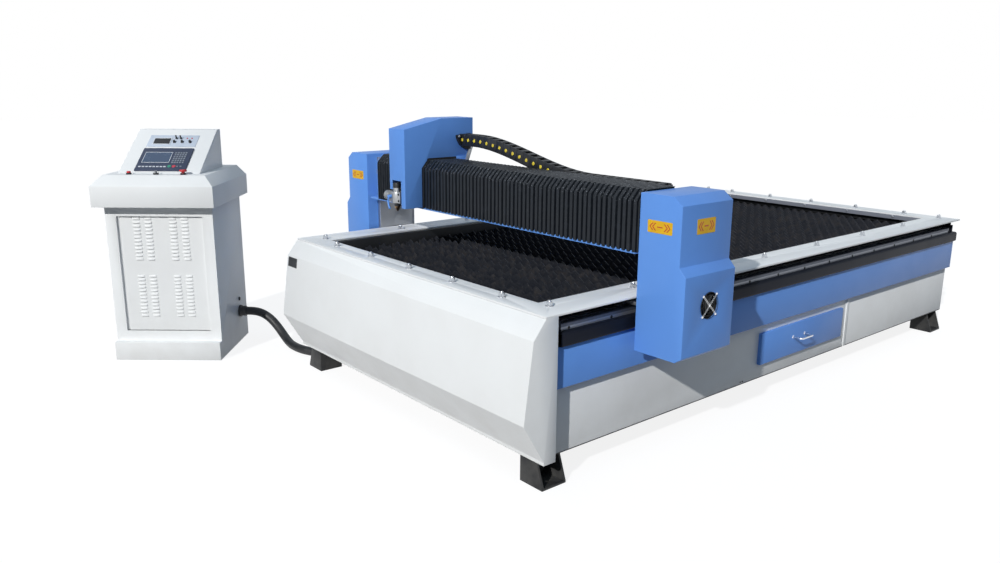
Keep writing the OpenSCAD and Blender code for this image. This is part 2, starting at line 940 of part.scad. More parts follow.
module rail_beams() {
    color("#2b2c30")
        both_sides() {
            difference() {
                along_y([rail_front, half_l - panel_t])
                    round_bar([rail_beam_x0, rail_beam_x1], [beam_z1, rail_z], corner_r);
                span(grow([rail_beam_x0, rail_beam_x1], -corner_r), [rail_front - over, half_l],
                    grow([beam_z1, rail_z], -corner_r));
            }
            for (y = [rail_front, rail_rear - stop_l])
                span([rail_x - rail_w, rack_x1], [y, y + stop_l], [rail_z + weld_gap, rail_z + stop_h]);
        }
}

module guide_rails() {
    color("#b9bcc2")
        both_sides()
            span(around(rail_x, rail_w), [rail_front + stop_l, rail_rear - stop_l],
                [rail_z, rail_z + rail_h]);
}

module racks() {
    color("#9a9da3")
        both_sides()
            for (i = [0 : rack_pieces - 1])
                translate([0, rack_y0 + i * rack_len, rack_pitch_z])
                    along_x([rack_x0, rack_x1])
                        polygon(rack_outline(rack_len, rack_pitch_z - rail_z, rack_gap));
}

// Drawer in the right side
module drawer_runners() {
    color("#8b8e93")
        for (s = [0, 1])
            translate([0, s == 0 ? drawer_box_y0 - touch - runner_t : drawer_box_y1 + touch, 0]) {
                span([leg_x1 - drawer_d, leg_x1], [0, runner_t],
                    [drawer_box_z0 - touch - runner_t, drawer_box_z0 + runner_h]);
                span([leg_x1 - drawer_d, leg_x1],
                    s == 0 ? [runner_t, runner_t + runner_w] : [-runner_w, 0],
                    [drawer_box_z0 - touch - runner_t, drawer_box_z0 - touch]);
            }
}

module drawer() {
    x0 = leg_x1 - drawer_d;
    y = [drawer_box_y0, drawer_box_y1];
    z = [drawer_box_z0, drawer_box_z1];
    color("#4474bb") {
        difference() {
            span([panel_x, panel_x + drawer_front_t], [drawer_y0, drawer_y1], [drawer_z0, drawer_z1]);
            for (q = [[drawer_y0, -1], [drawer_y1, 1]])
                translate([panel_x + drawer_front_t - drawer_bevel, q[0], drawer_z0 - over])
                    rotate([0, 0, q[1] * 45])
                        translate([0, -drawer_d / 2 + q[1] * drawer_d / 2, 0])
                            cube([drawer_d, drawer_d, drawer_h + 2 * over]);
            for (q = [[drawer_z0, -1], [drawer_z1, 1]])
                translate([panel_x + drawer_front_t - drawer_bevel, drawer_y0 - over, q[0]])
                    rotate([0, -q[1] * 45, 0])
                        translate([0, 0, -drawer_d / 2 + q[1] * drawer_d / 2])
                            cube([drawer_d, drawer_l + 2 * over, drawer_d]);
        }
        span([x0, panel_x], y, [z[0], z[0] + drawer_wall]);
        for (y0 = [y[0], y[1] - drawer_wall])
            span([x0, panel_x], [y0, y0 + drawer_wall], [z[0] + drawer_wall, z[1]]);
        for (xw = [x0, panel_x - drawer_wall])
            span([xw, xw + drawer_wall], grow(y, -drawer_wall), [z[0] + drawer_wall, z[1]]);
    }
}

module drawer_handle() {
    x0 = panel_x + drawer_front_t;
    color("#d3d6da") {
        for (s = [-1, 1])
            rod_x([x0, x0 + handle_out], handle_y + s * (handle_l / 2 - handle_post_in),
                handle_z, handle_post_r);
        rod_y(x0 + handle_out, around(handle_y, handle_l), handle_z, handle_bar_r);
    }
}

// Gantry: beam with its ledge and chain tray, end plates, towers, drives
module gantry_beam() {
    color("#4b82cf") {
        tube([-plate_x0, plate_x0], [by0, by1], [bz0, bz1], beam_wall, 0);
        span([-plate_x0, plate_x0], [gy0 + ledge_in, by0 + beam_d / 2], [bz0 - ledge_t, bz0]);
        span([-plate_x0, plate_x0], [by1, tray_y1], [tray_z1 - tray_floor_t, tray_z1]);
        span([-plate_x0, plate_x0], [tray_y1 - tray_floor_t, tray_y1], [tray_z1, tray_z1 + tray_lip]);
        along_x([bellows_stop - stop_t, bellows_stop])
            polygon([for (p = bellows_ring(0, 0)) [p[1], p[2]]]);
        span([bellows_stop - stop_t, bellows_stop], [by0, by1],
            [bz1 + touch, bellows_z1 - fold_d - bellows_gap]);
    }
}

module end_plates() {
    color("#8f9398")
        both_sides()
            difference() {
                union() {
                    span([plate_x0, tower_x0], [plate_y0, plate_y1], [plate_z0, plate_z1]);
                    for (s = [-1, 1])
                        span([rail_x - block_w / 2, plate_x0], around(gy + s * block_dy, block_l),
                            [rail_z + block_h, rail_z + block_h + shelf_t]);
                }
                rod_x(grow([plate_x0, tower_x0], over), gy, pinion_z, shaft_r * 2);
            }
}

module bearing_blocks() {
    color("#a9acb1")
        both_sides()
            for (s = [-1, 1])
                difference() {
                    span(around(rail_x, block_w), around(gy + s * block_dy, block_l),
                        [rail_z + block_gap, rail_z + block_h]);
                    span(grow(around(rail_x, rail_w), touch),
                        grow(around(gy + s * block_dy, block_l), over),
                        [rail_z, rail_z + rail_h + touch]);
                }
}

module tower_shell() {
    difference() {
        along_y([gy0, gy1])
            polygon(tower_path);
        along_y([gy0 + cover_t, gy1 - cover_t])
            polygon(inside(tower_path, cover_t));
        span(grow([tower_x0, tower_x0 + cover_t], over), around(gy, window_w), around(pinion_z, window_h));
    }
}

module tower_cover_right() {
    color("#5b93e0")
        difference() {
            tower_shell();
            rod_x(grow([tower_x2 - cover_t, tower_x2], over), gy, fan_z, fan_r);
        }
}

module tower_cover_left() {
    color("#5b93e0")
        mirror([1, 0, 0])
            tower_shell();
}

module drive_motors() {
    color("#2f3136")
        both_sides()
            difference() {
                union() {
                    span([tower_x0, tower_x0 + gearbox_l], around(gy, motor_w), around(pinion_z, motor_w));
                    span([tower_x0 + gearbox_l, tower_x0 + gearbox_l + motor_l], around(gy, motor_small_w),
                        around(pinion_z, motor_small_w));
                }
                rod_x([tower_x0 - over, tower_x0 + gearbox_l], gy, pinion_z, shaft_r + run_fit);
            }
}

// A pinion stands with a gap between two teeth straight down, over a tooth of its rack
pinion_phase = (gy - rack_y0) / tooth_step - 0.5;
pinion_turn = (pinion_phase - floor(pinion_phase)) * 360 / pinion_teeth;

module pinion() {
    translate([rack_x0 + pinion_side, gy, pinion_z])
        rotate([90, 0, 90])
            linear_extrude(rack_w - 2 * pinion_side)
                rotate(-90 + 180 / pinion_teeth - pinion_turn)
                    polygon(pinion_outline());
    rod_x([rack_x0 + pinion_side, tower_x0 + gearbox_l - shaft_r], gy, pinion_z, shaft_r);
}

module pinion_right() {
    color("#c2a15a")
        pinion();
}

module pinion_left() {
    color("#c2a15a")
        mirror([1, 0, 0])
            pinion();
}

// Fan in the right tower: frame inside, wire guard outside, rotor between
module fan_frame() {
    x = [tower_x2 - cover_t - fan_frame_t, tower_x2 - cover_t];
    color("#1a1b1d")
        difference() {
            union() {
                difference() {
                    span(x, around(gy, fan_frame_w), around(fan_z, fan_frame_w));
                    rod_x(grow(x, over), gy, fan_z, fan_r);
                }
                rod_x([x[0], x[0] + spider_t], gy, fan_z, fan_hub_r);
                for (a = [45, 135])
                    translate([x[0], gy, fan_z])
                        rotate([a, 0, 0])
                            span([0, spider_t], around(0, 2 * fan_r + fan_frame_wall), around(0, spider_w));
            }
            rod_x(grow(x, over), gy, fan_z, fan_pin_r + run_fit);
        }
}

module fan_guard() {
    color("#d8dade") {
        for (i = [1 : guard_rings])
            translate([tower_x2 + guard_wire_r, gy, fan_z])
                rotate([0, 90, 0])
                    rotate_extrude()
                        translate([fan_r * i / guard_rings, 0])
                            circle(guard_wire_r);
        for (a = [45, 135])
            translate([tower_x2 + guard_wire_r, gy, fan_z])
                rotate([a, 0, 0])
                    span([0, 2 * guard_wire_r],
                        around(0, 2 * fan_r + 2 * guard_arm_w), around(0, guard_arm_w));
        for (a = [45 : 90 : 315])
            translate([tower_x2, gy, fan_z] + (fan_r + guard_arm_w) * [0, cos(a), sin(a)])
                rotate([0, 90, 0])
                    cylinder(r = guard_arm_w, h = 3 * guard_wire_r);
    }
}

module fan_rotor() {
    x = [tower_x2 - cover_t - fan_frame_t + spider_t + touch, tower_x2 - cover_t - spider_t];
    color("#26272a") {
        rod_x(x, gy, fan_z, fan_hub_r);
        rod_x([tower_x2 - cover_t - fan_frame_t, x[0]], gy, fan_z, fan_pin_r);
        for (i = [0 : fan_blades - 1])
            translate([(x[0] + x[1]) / 2, gy, fan_z])
                rotate([360 / fan_blades * i, 0, 0])
                    translate([0, fan_hub_r - blade_t, 0])
                        rotate([0, blade_tilt, 0])
                            span(around(0, blade_w), [0, fan_r - fan_tip_gap - fan_hub_r],
                                around(0, blade_t));
    }
}

// On the beam: two rails and a rack with its teeth down, under the bellows
module beam_rails() {
    color("#b9bcc2")
        for (z = beam_rail_z)
            span(grow([-plate_x0, plate_x0], -beam_rail_end), [by0 - rail_h, by0], around(z, rail_w));
}

module beam_rack() {
    color("#9a9da3")
        translate([-beam_rack_l / 2, 0, beam_rack_z + addendum_share * gear_m])
            mirror([0, 0, 1])
                along_y([by0 - rack_w, by0])
                    polygon(rack_outline(beam_rack_l, rack_h - addendum_share * gear_m, 0));
}

// A bellows ring at one place along the beam: over the front, the chamfer and the top
function bellows_ring(x, in) = [
    [x, gy0 + in, bz0 + bellows_gap],
    [x, gy0 + in, bellows_z1 - bellows_chamfer - in / 2],
    [x, gy0 + bellows_chamfer + in / 2, bellows_z1 - in],
    [x, by1 + bellows_back, bellows_z1 - in],
    [x, by1 + bellows_back, bellows_z1 - fold_d - bellows_gap],
    [x, gy0 + bellows_chamfer + fold_d, bellows_z1 - fold_d - bellows_gap],
    [x, gy0 + fold_d + bellows_gap, bellows_z1 - bellows_chamfer - fold_d],
    [x, gy0 + fold_d + bellows_gap, bz0 + bellows_gap]
];

module bellows(x, folds) {
    skin([for (i = [0 : 2 * folds])
        bellows_ring(x[0] + (x[1] - x[0]) * i / (2 * folds), i % 2 == 0 ? 0 : fold_d)]);
}

module bellows_right() {
    color("#15171a")
        bellows([cx1 + bellows_gap, tower_x0 - bellows_gap], right_folds);
}

module bellows_left() {
    color("#15171a")
        bellows([bellows_stop + bellows_gap, cx0 - bellows_gap], left_folds);
}

// Cable chain: links along a line that sinks smoothly, on a bracket arm at the carriage
function ease(s) = let (c = min(1, max(0, s))) c * c * (3 - 2 * c);
function chain_z(x) = chain_hi + (chain_lo - chain_hi) * ease((x - cx1 - chain_start) / chain_run);

// One edge of the chain, above (1) or below (-1) its middle line, with a groove after each link
function chain_edge(side) = [for (i = [0 : link_count - 1]) let (
    x0 = cx1 + touch + i * link_pitch,
    x1 = x0 + link_pitch - link_play,
    up = side * (link_h / 2 - link_play),
    groove = side * (link_h / 2 - link_groove)
) each [
    [x0, chain_z(x0) + up],
    [x1 - link_play, chain_z(x1) + up],
    [x1, chain_z(x1) + groove],
    [x1 + link_play, chain_z(x1) + groove]
]];

module cable_chain() {
    color("#1b1c1e")
        along_y([chain_y0, chain_y0 + link_w])
            polygon(concat(chain_edge(1), flip(chain_edge(-1))));
}

// Carriage: plate with its blocks, motor shelf and lift guide; cover; motors
module carriage_plate() {
    x = [cx0 + cover_t, cx1 - cover_t];
    color("#a4a7ac") {
        difference() {
            span(x, [cpy0, cpy1], [cz0, lift_top + lift_shelf_t]);
            rod_y(x_motor_x, grow([cpy0, cpy1], over), x_pinion_z, x_shaft_r * 2);
        }
        for (z = [lift_top, lift_low])
            difference() {
                span([x[0], lift_x + slide_w / 2], [shelf_y0, cpy0], [z, z + lift_shelf_t]);
                rod_z(lift_x, lift_y, grow([z, z + lift_shelf_t], over), lift_r + run_fit);
            }
        span(around(lift_x, guide_w), [cpy0 - guide_d, cpy0], [lift_low + lift_shelf_t, lift_top]);
        for (z = beam_rail_z, s = [-1, 1])
            difference() {
                span(around(carriage_x + s * block_dx, block_l), [cpy1, by0 - block_gap],
                    around(z, block_w));
                span(grow(around(carriage_x + s * block_dx, block_l), over), [by0 - rail_h - touch, by0],
                    grow(around(z, rail_w), touch));
            }
    }
}

module carriage_cover() {
    color("#5b93e0")
        difference() {
            along_x([cx0, cx1])
                polygon(flip(carriage_path));
            along_x([cx0 + cover_t, cx1 - cover_t])
                polygon(inside(flip(carriage_path), cover_t));
            span([cx0 + cover_t, cx1 - cover_t], [cfy + cover_t, cpy1 + over], [cz0 - over, cz_bridge]);
            span([cx0 + cover_t, cx1 - cover_t], [cpy0 - over, cpy1 + over],
                [cz_bridge - over, lift_top + plate_t]);
            span([cx0 - over, cx0 + notch_w], [cfy - over, notch_y], [cz0 - over, notch_z]);
            span([cx0 + slot_in, cx0 + notch_w], [cfy - over, notch_y], [cz0 - over, cz0 + slot_up]);
        }
}

module carriage_motors() {
    color("#2f3136") {
        difference() {
            span(around(x_motor_x, x_motor_w), [cpy0 - x_motor_l, cpy0], around(x_pinion_z, x_motor_w));
            rod_y(x_motor_x, [cpy0 - x_motor_l / 2, cpy0 + over], x_pinion_z, x_shaft_r + run_fit);
        }
        difference() {
            span(around(lift_x, lift_motor_w), around(lift_y, lift_motor_w),
                [lift_top + lift_shelf_t, lift_top + lift_shelf_t + lift_motor_h]);
            rod_z(lift_x, lift_y, [lift_top, lift_top + lift_shelf_t + lift_motor_h / 2], lift_r + run_fit);
        }
    }
}

x_phase = (x_motor_x + beam_rack_l / 2) / tooth_step - 0.5;
x_turn = (x_phase - floor(x_phase)) * 360 / pinion_teeth;

module carriage_pinion() {
    color("#c2a15a") {
        translate([x_motor_x, by0 - x_pinion_w / 4, x_pinion_z])
            rotate([90, 0, 0])
                linear_extrude(x_pinion_w)
                    rotate(90 + 180 / pinion_teeth + x_turn)
                        polygon(pinion_outline());
        rod_y(x_motor_x, [cpy0 - x_motor_l / 2, by0 - x_pinion_w / 4], x_pinion_z, x_shaft_r);
    }
}

module lift_screw() {
    color("#c8cace")
        rod_z(lift_x, lift_y, [lift_low, lift_top + lift_shelf_t + lift_motor_h / 2], lift_r);
}

// Torch: slide with its nut, clamp, barrel and lever
module torch_slide() {
    color("#aeb1b6") {
        span(around(lift_x, slide_w), [slide_y0, slide_y0 + slide_t], [slide_z0, nut_z0 + nut_h]);
        difference() {
            span(around(lift_x, slide_w), [slide_y0 + slide_t, cpy0 - touch], [nut_z0, nut_z0 + nut_h]);
            rod_z(lift_x, lift_y, grow([nut_z0, nut_z0 + nut_h], over), lift_r + run_fit);
            span(grow(around(lift_x, guide_w), touch), [cpy0 - guide_d - touch, cpy0],
                grow([nut_z0, nut_z0 + nut_h], over));
        }
    }
}

module torch_clamp() {
    y = [torch_y - torch_r + clamp_in, slide_y0];
    middle = (y[0] + y[1]) / 2;
    z = clamp_z0 + clamp_h / 2;
    color("#c6c8cb")
        difference() {
            union() {
                span(clamp_x, y, [clamp_z0, clamp_z0 + clamp_h]);
                rod_x([grip_x0, clamp_x[0] + over], middle, z, grip_r - grip_groove);
                for (i = [0 : grip_ribs - 1])
                    rod_x([grip_x0 + i * grip_step, grip_x0 + (i + rib_share) * grip_step], middle, z, grip_r);
                rod_z(torch_x, torch_y, [clamp_z0, clamp_z0 + clamp_h], torch_r + clamp_wall);
            }
            rod_z(torch_x, torch_y, grow([clamp_z0, clamp_z0 + clamp_h], over), torch_r + run_fit);
            rod_y(lever_x, [torch_y - torch_r, torch_y], z, lever_r + run_fit);
        }
}

module torch() {
    z = [torch_z0, torch_z0 + nozzle_h, torch_z0 + nozzle_h + body_h, torch_z1];
    color("#3b3d41")
        translate([torch_x, torch_y, 0])
            rotate_extrude()
                polygon([
                    [0, z[0]], [nozzle_r, z[0]], [torch_r - clamp_in, z[1]], [torch_r - clamp_in, z[2]],
                    [torch_r, z[2]], [torch_r, z[3] - clamp_in], [torch_r - clamp_in, z[3]], [0, z[3]]
                ]);
}

module clamp_lever() {
    y = [torch_y - torch_r + clamp_in - touch - lever_t, torch_y - torch_r + clamp_in - touch];
    z = clamp_z0 + clamp_h / 2;
    color("#2a62b8") {
        rod_y(lever_x, y, z, lever_boss_r);
        rod_y(lever_x, [y[1], torch_y - touch], z, lever_r);
        span(around(lever_x, 2 * lever_r), [y[0], y[0] + lever_r], [z - lever_l, z]);
        rod_y(lever_x, [y[0], y[0] + lever_r], z - lever_l, lever_boss_r * lever_end_share);
    }
}

// Console: placed and turned as one, its pieces drawn in its own frame
module at_console() {
    translate([console_x, console_y, 0])
        rotate([0, 0, console_turn])
            children();
}

module on_slope() {
    at_console()
        translate([0, head_y0, desk_z1])
            rotate([slope_a, 0, 0])
                children();
}

door_x = console_w / 2 - frame_border;
door_z = [plinth_h + frame_border, cabinet_h - frame_border];
hinge_x = -door_x - hinge_out;
hinge_y = cb1 + hinge_out;

module console_cabinet() {
    x = [-console_w / 2, console_w / 2];
    color("#e6e8e9")
        at_console() {
            span(x, [0, cb0], [0, plinth_h]);
            for (x0 = [x[0], x[1] - wall])
                span([x0, x0 + wall], [cb0, cb1], [0, cabinet_h]);
            span(grow(x, -wall), grow([cb0, cb1], -wall), [0, wall]);
            difference() {
                span(grow(x, -wall), [cb0, cb0 + wall], [0, cabinet_h]);
                span(grow(x, -frame_border), grow([cb0, cb0 + wall], over), door_z);
            }
            difference() {
                span(grow(x, -wall), [cb1 - wall, cb1], [0, cabinet_h]);
                span(grow([-door_x, door_x], -lug), grow([cb1 - wall, cb1], over), grow(door_z, -lug));
            }
            for (s = hinge_z_shares, e = [-1, 1])
                translate([hinge_x, hinge_y, share_of(door_z, s) + e * (hinge_l + lug) / 2])
                    difference() {
                        span(around(0, hinge_out), [-hinge_out, hinge_out], around(0, lug - 2 * touch));
                        rod_z(0, 0, around(0, lug + over), hinge_r + run_fit);
                    }
        }
}

module louvre_panel() {
    x = grow([-console_w / 2, console_w / 2], -frame_border);
    y = [cb0 + panel_recess, cb0 + panel_recess + wall];
    color("#dcdfe1")
        at_console() {
            difference() {
                span(x, y, door_z);
                for (xs = louvre_x_shares, r = [0 : louvre_rows - 1])
                    span(around(console_w * xs, louvre_w), grow(y, over),
                        around(door_z[0] + louvre_base + r * louvre_step
                            + (r >= louvre_rows / 2 ? louvre_split : 0), louvre_h));
            }
            for (x0 = [x[0] - wall, x[1]])
                span([x0, x0 + wall], [cb0 + wall, y[1]], door_z);
        }
}

module desk_block(inset, z) {
    x = around(0, desk_w - 2 * inset);
    y = [-desk_out + inset, -desk_out + desk_d - inset];
    edge = desk_z0 + desk_edge_h - inset;
    span(x, y, [z, edge]);
    hull() {
        span(x, y, [edge - over, edge]);
        span(grow(x, -desk_bevel), [y[0] + desk_bevel, y[1]], [edge, edge + desk_bevel]);
    }
}

module console_desk() {
    color("#e6e8e9")
        at_console()
            difference() {
                desk_block(0, desk_z0);
                desk_block(wall, desk_z0 + wall);
                span(grow([-console_w / 2, console_w / 2], -frame_border),
                    grow([cb0, cb1], -frame_border), [desk_z0 - over, desk_z0 + wall + over]);
            }
}

module console_head() {
    color("#e9ebec")
        at_console()
            difference() {
                along_x(around(0, head_w))
                    polygon(flip(head_path));
                along_x(around(0, head_w - 2 * wall))
                    polygon(inside(flip(head_path), wall));
            }
}

// The rear door swings on two pins held in the cabinet's lugs
module rear_door() {
    color("#e6e8e9")
        at_console() {
            span([-door_x, door_x], [cb1 + door_gap, cb1 + door_gap + wall], door_z);
            for (s = hinge_z_shares)
                translate([hinge_x, hinge_y, share_of(door_z, s)]) {
                    rod_z(0, 0, around(0, hinge_l + 2 * lug), hinge_r);
                    span([0, hinge_out + wall], [door_gap - hinge_out, door_gap - hinge_out + wall],
                        around(0, hinge_l));
                    span(around(0, wall), [-hinge_out + door_gap, 0], around(0, hinge_l));
                }
        }
}

module instrument_panel() {
    color("#c3cad3")
        on_slope()
            span(around(0, ip_w), [ip_y0, ip_y1], [0, ip_t]);
}

module controller_panel() {
    color("#3d4a63")
        on_slope()
            span(around(0, cp_w), [cp_y0, cp_y1], [0, cp_t]);
}

module screens() {
    color("#22303f")
        on_slope() {
            span(ip_w * lcd_x_shares, [for (s = lcd_y_shares) share_of([ip_y0, ip_y1], s)],
                [ip_t, ip_t + glass_t]);
            span(cp_w * screen_x_shares, [for (s = screen_y_shares) share_of([cp_y0, cp_y1], s)],
                [cp_t, cp_t + glass_t]);
        }
}

module switch_collars() {
    color("#1a1b1d")
        at_console()
            for (s = switch_x_shares)
                translate([head_w * s, switch_y, 0])
                    difference() {
                        rod_z(0, 0, [desk_z1, desk_z1 + collar_h], collar_r);
                        rod_z(0, 0, [desk_z1, desk_z1 + collar_h + over], button_r + run_fit);
                    }
}

module start_button() {
    color("#c22a2e")
        at_console()
            rod_z(head_w * switch_x_shares[0], switch_y,
                [desk_z1 + button_travel + touch, desk_z1 + collar_h + button_h], button_r);
}

module selector_switch() {
    color("#7d8186")
        at_console()
            translate([head_w * switch_x_shares[1], switch_y, desk_z1]) {
                rod_z(0, 0, [touch, collar_h], button_r);
                span(around(0, button_r / 2), around(0, 2 * button_r), [collar_h, collar_h + selector_h]);
            }
}

module emergency_stop() {
    z = desk_z1 + collar_h;
    color("#d12128")
        at_console()
            translate([head_w * switch_x_shares[2], switch_y, 0]) {
                rod_z(0, 0, [desk_z1 + button_travel + touch, z], button_r);
                rod_z(0, 0, [z, z + stop_neck_h], stop_neck_r);
                rod_z(0, 0, [z + stop_neck_h, z + stop_neck_h + stop_cap_h], stop_r);
            }
}

module knob(i) {
    color("#17181a")
        on_slope()
            translate([ip_w * knob_x_shares[i], share_of([ip_y0, ip_y1], knob_y_share), ip_t + touch])
                cylinder(r = knob_r, h = knob_h);
}

module knob_1() knob(0);

module knob_2() knob(1);

module knob_3() knob(2);

// A toggle's lever pivots on a cross pin just above the panel
module toggle(i) {
    color("#17181a")
        on_slope()
            translate([ip_w * toggle_x_shares[i], share_of([ip_y0, ip_y1], toggle_y_share),
                ip_t + toggle_nut_h]) {
                rod_x(around(0, 2 * toggle_nut_r), 0, 0, toggle_nut_h - touch);
                cylinder(r = toggle_r, h = toggle_l);
            }
}

module toggle_1() toggle(0);

module toggle_2() toggle(1);

// Hose and its two glands
function ring_at(c, d, r) = let (
    f = d / norm(d),
    s = cross(f, [0, 0, 1]),
    u = s / norm(s),
    v = cross(u, f)
) [for (i = [0 : hose_sides - 1]) let (a = 360 / hose_sides * i) c + r * cos(a) * u + r * sin(a) * v];
function way(p, i) = p[min(len(p) - 1, i + 1)] - p[max(0, i - 1)];
function knot(p, i) = p[min(len(p) - 1, max(0, i))];
function blend(p, i, t) = (
    (1 - t) ^ 3 * knot(p, i - 1) + (3 * t ^ 3 - 6 * t ^ 2 + 4) * knot(p, i)
    + (-3 * t ^ 3 + 3 * t ^ 2 + 3 * t + 1) * knot(p, i + 1) + t ^ 3 * knot(p, i + 2)
) / 6;
function curve(p, n) = concat(
    [p[0]],
    [for (i = [0 : len(p) - 2], k = [0 : n - 1]) if (i > 0 || k > 0) blend(p, i, k / n)],
    [blend(p, len(p) - 1, 0), p[len(p) - 1]]
);

module gland() {
    rod_x([0, gland_t], 0, 0, gland_r);
    rod_x([gland_t, gland_t + gland_neck], 0, 0, gland_neck_r);
}

module hose_glands() {
    color("#1b1c1e") {
        at_console()
            translate([console_w / 2, gland_y, gland_z])
                gland();
        translate([bed_gland_x, -cross_y - cross_w / 2, bed_gland_z])
            rotate([0, 0, -90])
                gland();
    }
}

module control_hose() {
    line = curve(hose_points, hose_steps);
    color("#232428")
        skin([for (i = [0 : len(line) - 1]) ring_at(line[i], way(line, i), hose_r)]);
}

bed_frame();
feet();
front_apron();
side_panels();
blue_bands();
rim();
rim_bolts();
slat_supports();
slats();
slag_tray();
rail_beams();
guide_rails();
racks();
drawer_runners();
drawer();
drawer_handle();
gantry_beam();
end_plates();
tower_cover_right();
tower_cover_left();
drive_motors();
bearing_blocks();
pinion_right();
pinion_left();
fan_frame();
fan_guard();
fan_rotor();
beam_rails();
beam_rack();
bellows_right();
bellows_left();
cable_chain();
carriage_plate();
carriage_cover();
carriage_motors();
carriage_pinion();
lift_screw();
torch_slide();
torch_clamp();
torch();
clamp_lever();
console_cabinet();
louvre_panel();
console_desk();
console_head();
rear_door();
instrument_panel();
controller_panel();
screens();
switch_collars();
start_button();
selector_switch();
emergency_stop();
knob_1();
knob_2();
knob_3();
toggle_1();
toggle_2();
hose_glands();
control_hose();
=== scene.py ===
from math import atan2, cos, pi, radians, sin

import bmesh
import bpy
from mathutils import Euler, Matrix, Vector


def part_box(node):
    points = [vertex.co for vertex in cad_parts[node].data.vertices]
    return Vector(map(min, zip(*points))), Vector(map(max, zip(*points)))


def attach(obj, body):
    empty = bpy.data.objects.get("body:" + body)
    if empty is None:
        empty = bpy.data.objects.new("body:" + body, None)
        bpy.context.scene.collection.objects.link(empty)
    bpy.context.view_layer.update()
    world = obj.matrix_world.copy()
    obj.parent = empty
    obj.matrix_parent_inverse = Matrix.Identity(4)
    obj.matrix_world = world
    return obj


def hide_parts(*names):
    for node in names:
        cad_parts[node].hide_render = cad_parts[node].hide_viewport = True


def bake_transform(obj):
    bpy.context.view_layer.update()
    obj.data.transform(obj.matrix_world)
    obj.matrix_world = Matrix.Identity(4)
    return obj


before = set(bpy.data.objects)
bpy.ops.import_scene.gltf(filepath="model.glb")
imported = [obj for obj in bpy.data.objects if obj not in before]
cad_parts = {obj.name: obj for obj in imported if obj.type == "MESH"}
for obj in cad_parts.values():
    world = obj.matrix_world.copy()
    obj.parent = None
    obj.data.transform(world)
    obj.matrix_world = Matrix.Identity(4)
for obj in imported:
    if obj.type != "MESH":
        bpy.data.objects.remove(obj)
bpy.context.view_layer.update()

# --- Studio -------------------------------------------------------------------------------
# The camera stands where the photograph was taken from. One low sun from the front right
# lights the aprons, a pale sky that is brighter behind fills the shade, and a white floor
# keeps the shadows.
scene = bpy.context.scene
scene.view_settings.view_transform = "Standard"

camera = bpy.data.objects.new("camera", bpy.data.cameras.new("camera"))
camera.data.sensor_width = 36
camera.data.lens = 30.44
camera.data.clip_end = 100
camera.matrix_world = (
    Matrix.Translation((3.204, -3.859, 1.600))
    @ Euler((radians(76.32), 0, radians(50.09))).to_matrix().to_4x4()
    @ Matrix.Rotation(radians(0.32), 4, "Z")
)
scene.collection.objects.link(camera)
scene.camera = camera

sun = bpy.data.objects.new("sun", bpy.data.lights.new("sun", "SUN"))
sun.data.energy = 2.85
sun.data.angle = radians(1.0)
sun.data.color = (1.0, 0.985, 0.955)
sun_stands = Vector((0.330, -0.803, 0.496))
sun.rotation_euler = sun_stands.to_track_quat("Z", "Y").to_euler()
scene.collection.objects.link(sun)


class Wire:
    """A shader socket that adds up, multiplies and mixes; node() makes any other node."""

    def __init__(self, tree, socket=None):
        self.tree, self.socket = tree, socket

    def node(self, kind, settings=None, sockets=None, out=0):
        made = self.tree.nodes.new("ShaderNode" + kind)
        for key, value in (settings or {}).items():
            setattr(made, key, value)
        for key, value in (sockets or {}).items():
            if isinstance(value, Wire):
                self.tree.links.new(value.socket, made.inputs[key])
            else:
                made.inputs[key].default_value = value
        return Wire(self.tree, made.outputs[out])

    def math(self, operation, a, b):
        return self.node("Math", {"operation": operation}, {0: a, 1: b})

    def __add__(self, other):
        return self.math("ADD", self, other)

    __radd__ = __add__

    def __sub__(self, other):
        return self.math("SUBTRACT", self, other)

    def __rsub__(self, other):
        return self.math("SUBTRACT", other, self)

    def __mul__(self, other):
        return self.math("MULTIPLY", self, other)

    def __or__(self, other):
        return self.math("MAXIMUM", self, other)

    def rise(self, low, high):
        """0 up to low, 1 from high on, and smooth between them."""
        return self.node("MapRange", {"interpolation_type": "SMOOTHSTEP"},
                         {0: self, 1: low, 2: high})

    def mix(self, a, b):
        """Colour a where the wire is 0, b where it is 1."""
        return self.node("Mix", {"data_type": "RGBA"}, {0: self, 6: a, 7: b}, 2)

    def place(self):
        return self.node("TexCoord", out="Object")

    def part(self, axis):
        return self.node("SeparateXYZ", {}, {0: self}, axis)

    def stretch(self, x, y, z):
        return self.node("Mapping", {}, {0: self, 3: (x, y, z)})

    def noise(self, scale, detail=3.0, rough=0.55):
        return self.node("TexNoise", {}, {
            "Vector": self, "Scale": scale, "Detail": detail, "Roughness": rough})

    def bump(self, depth):
        return self.node("Bump", {}, {"Distance": depth, "Height": self}, "Normal")


def shader_of(owner, shader):
    """Links a shader to the output of a material or of the world."""
    tree = owner.node_tree
    end = next(n for n in tree.nodes if n.bl_idname.startswith("ShaderNodeOutput"))
    tree.links.new(shader.socket, end.inputs["Surface"])


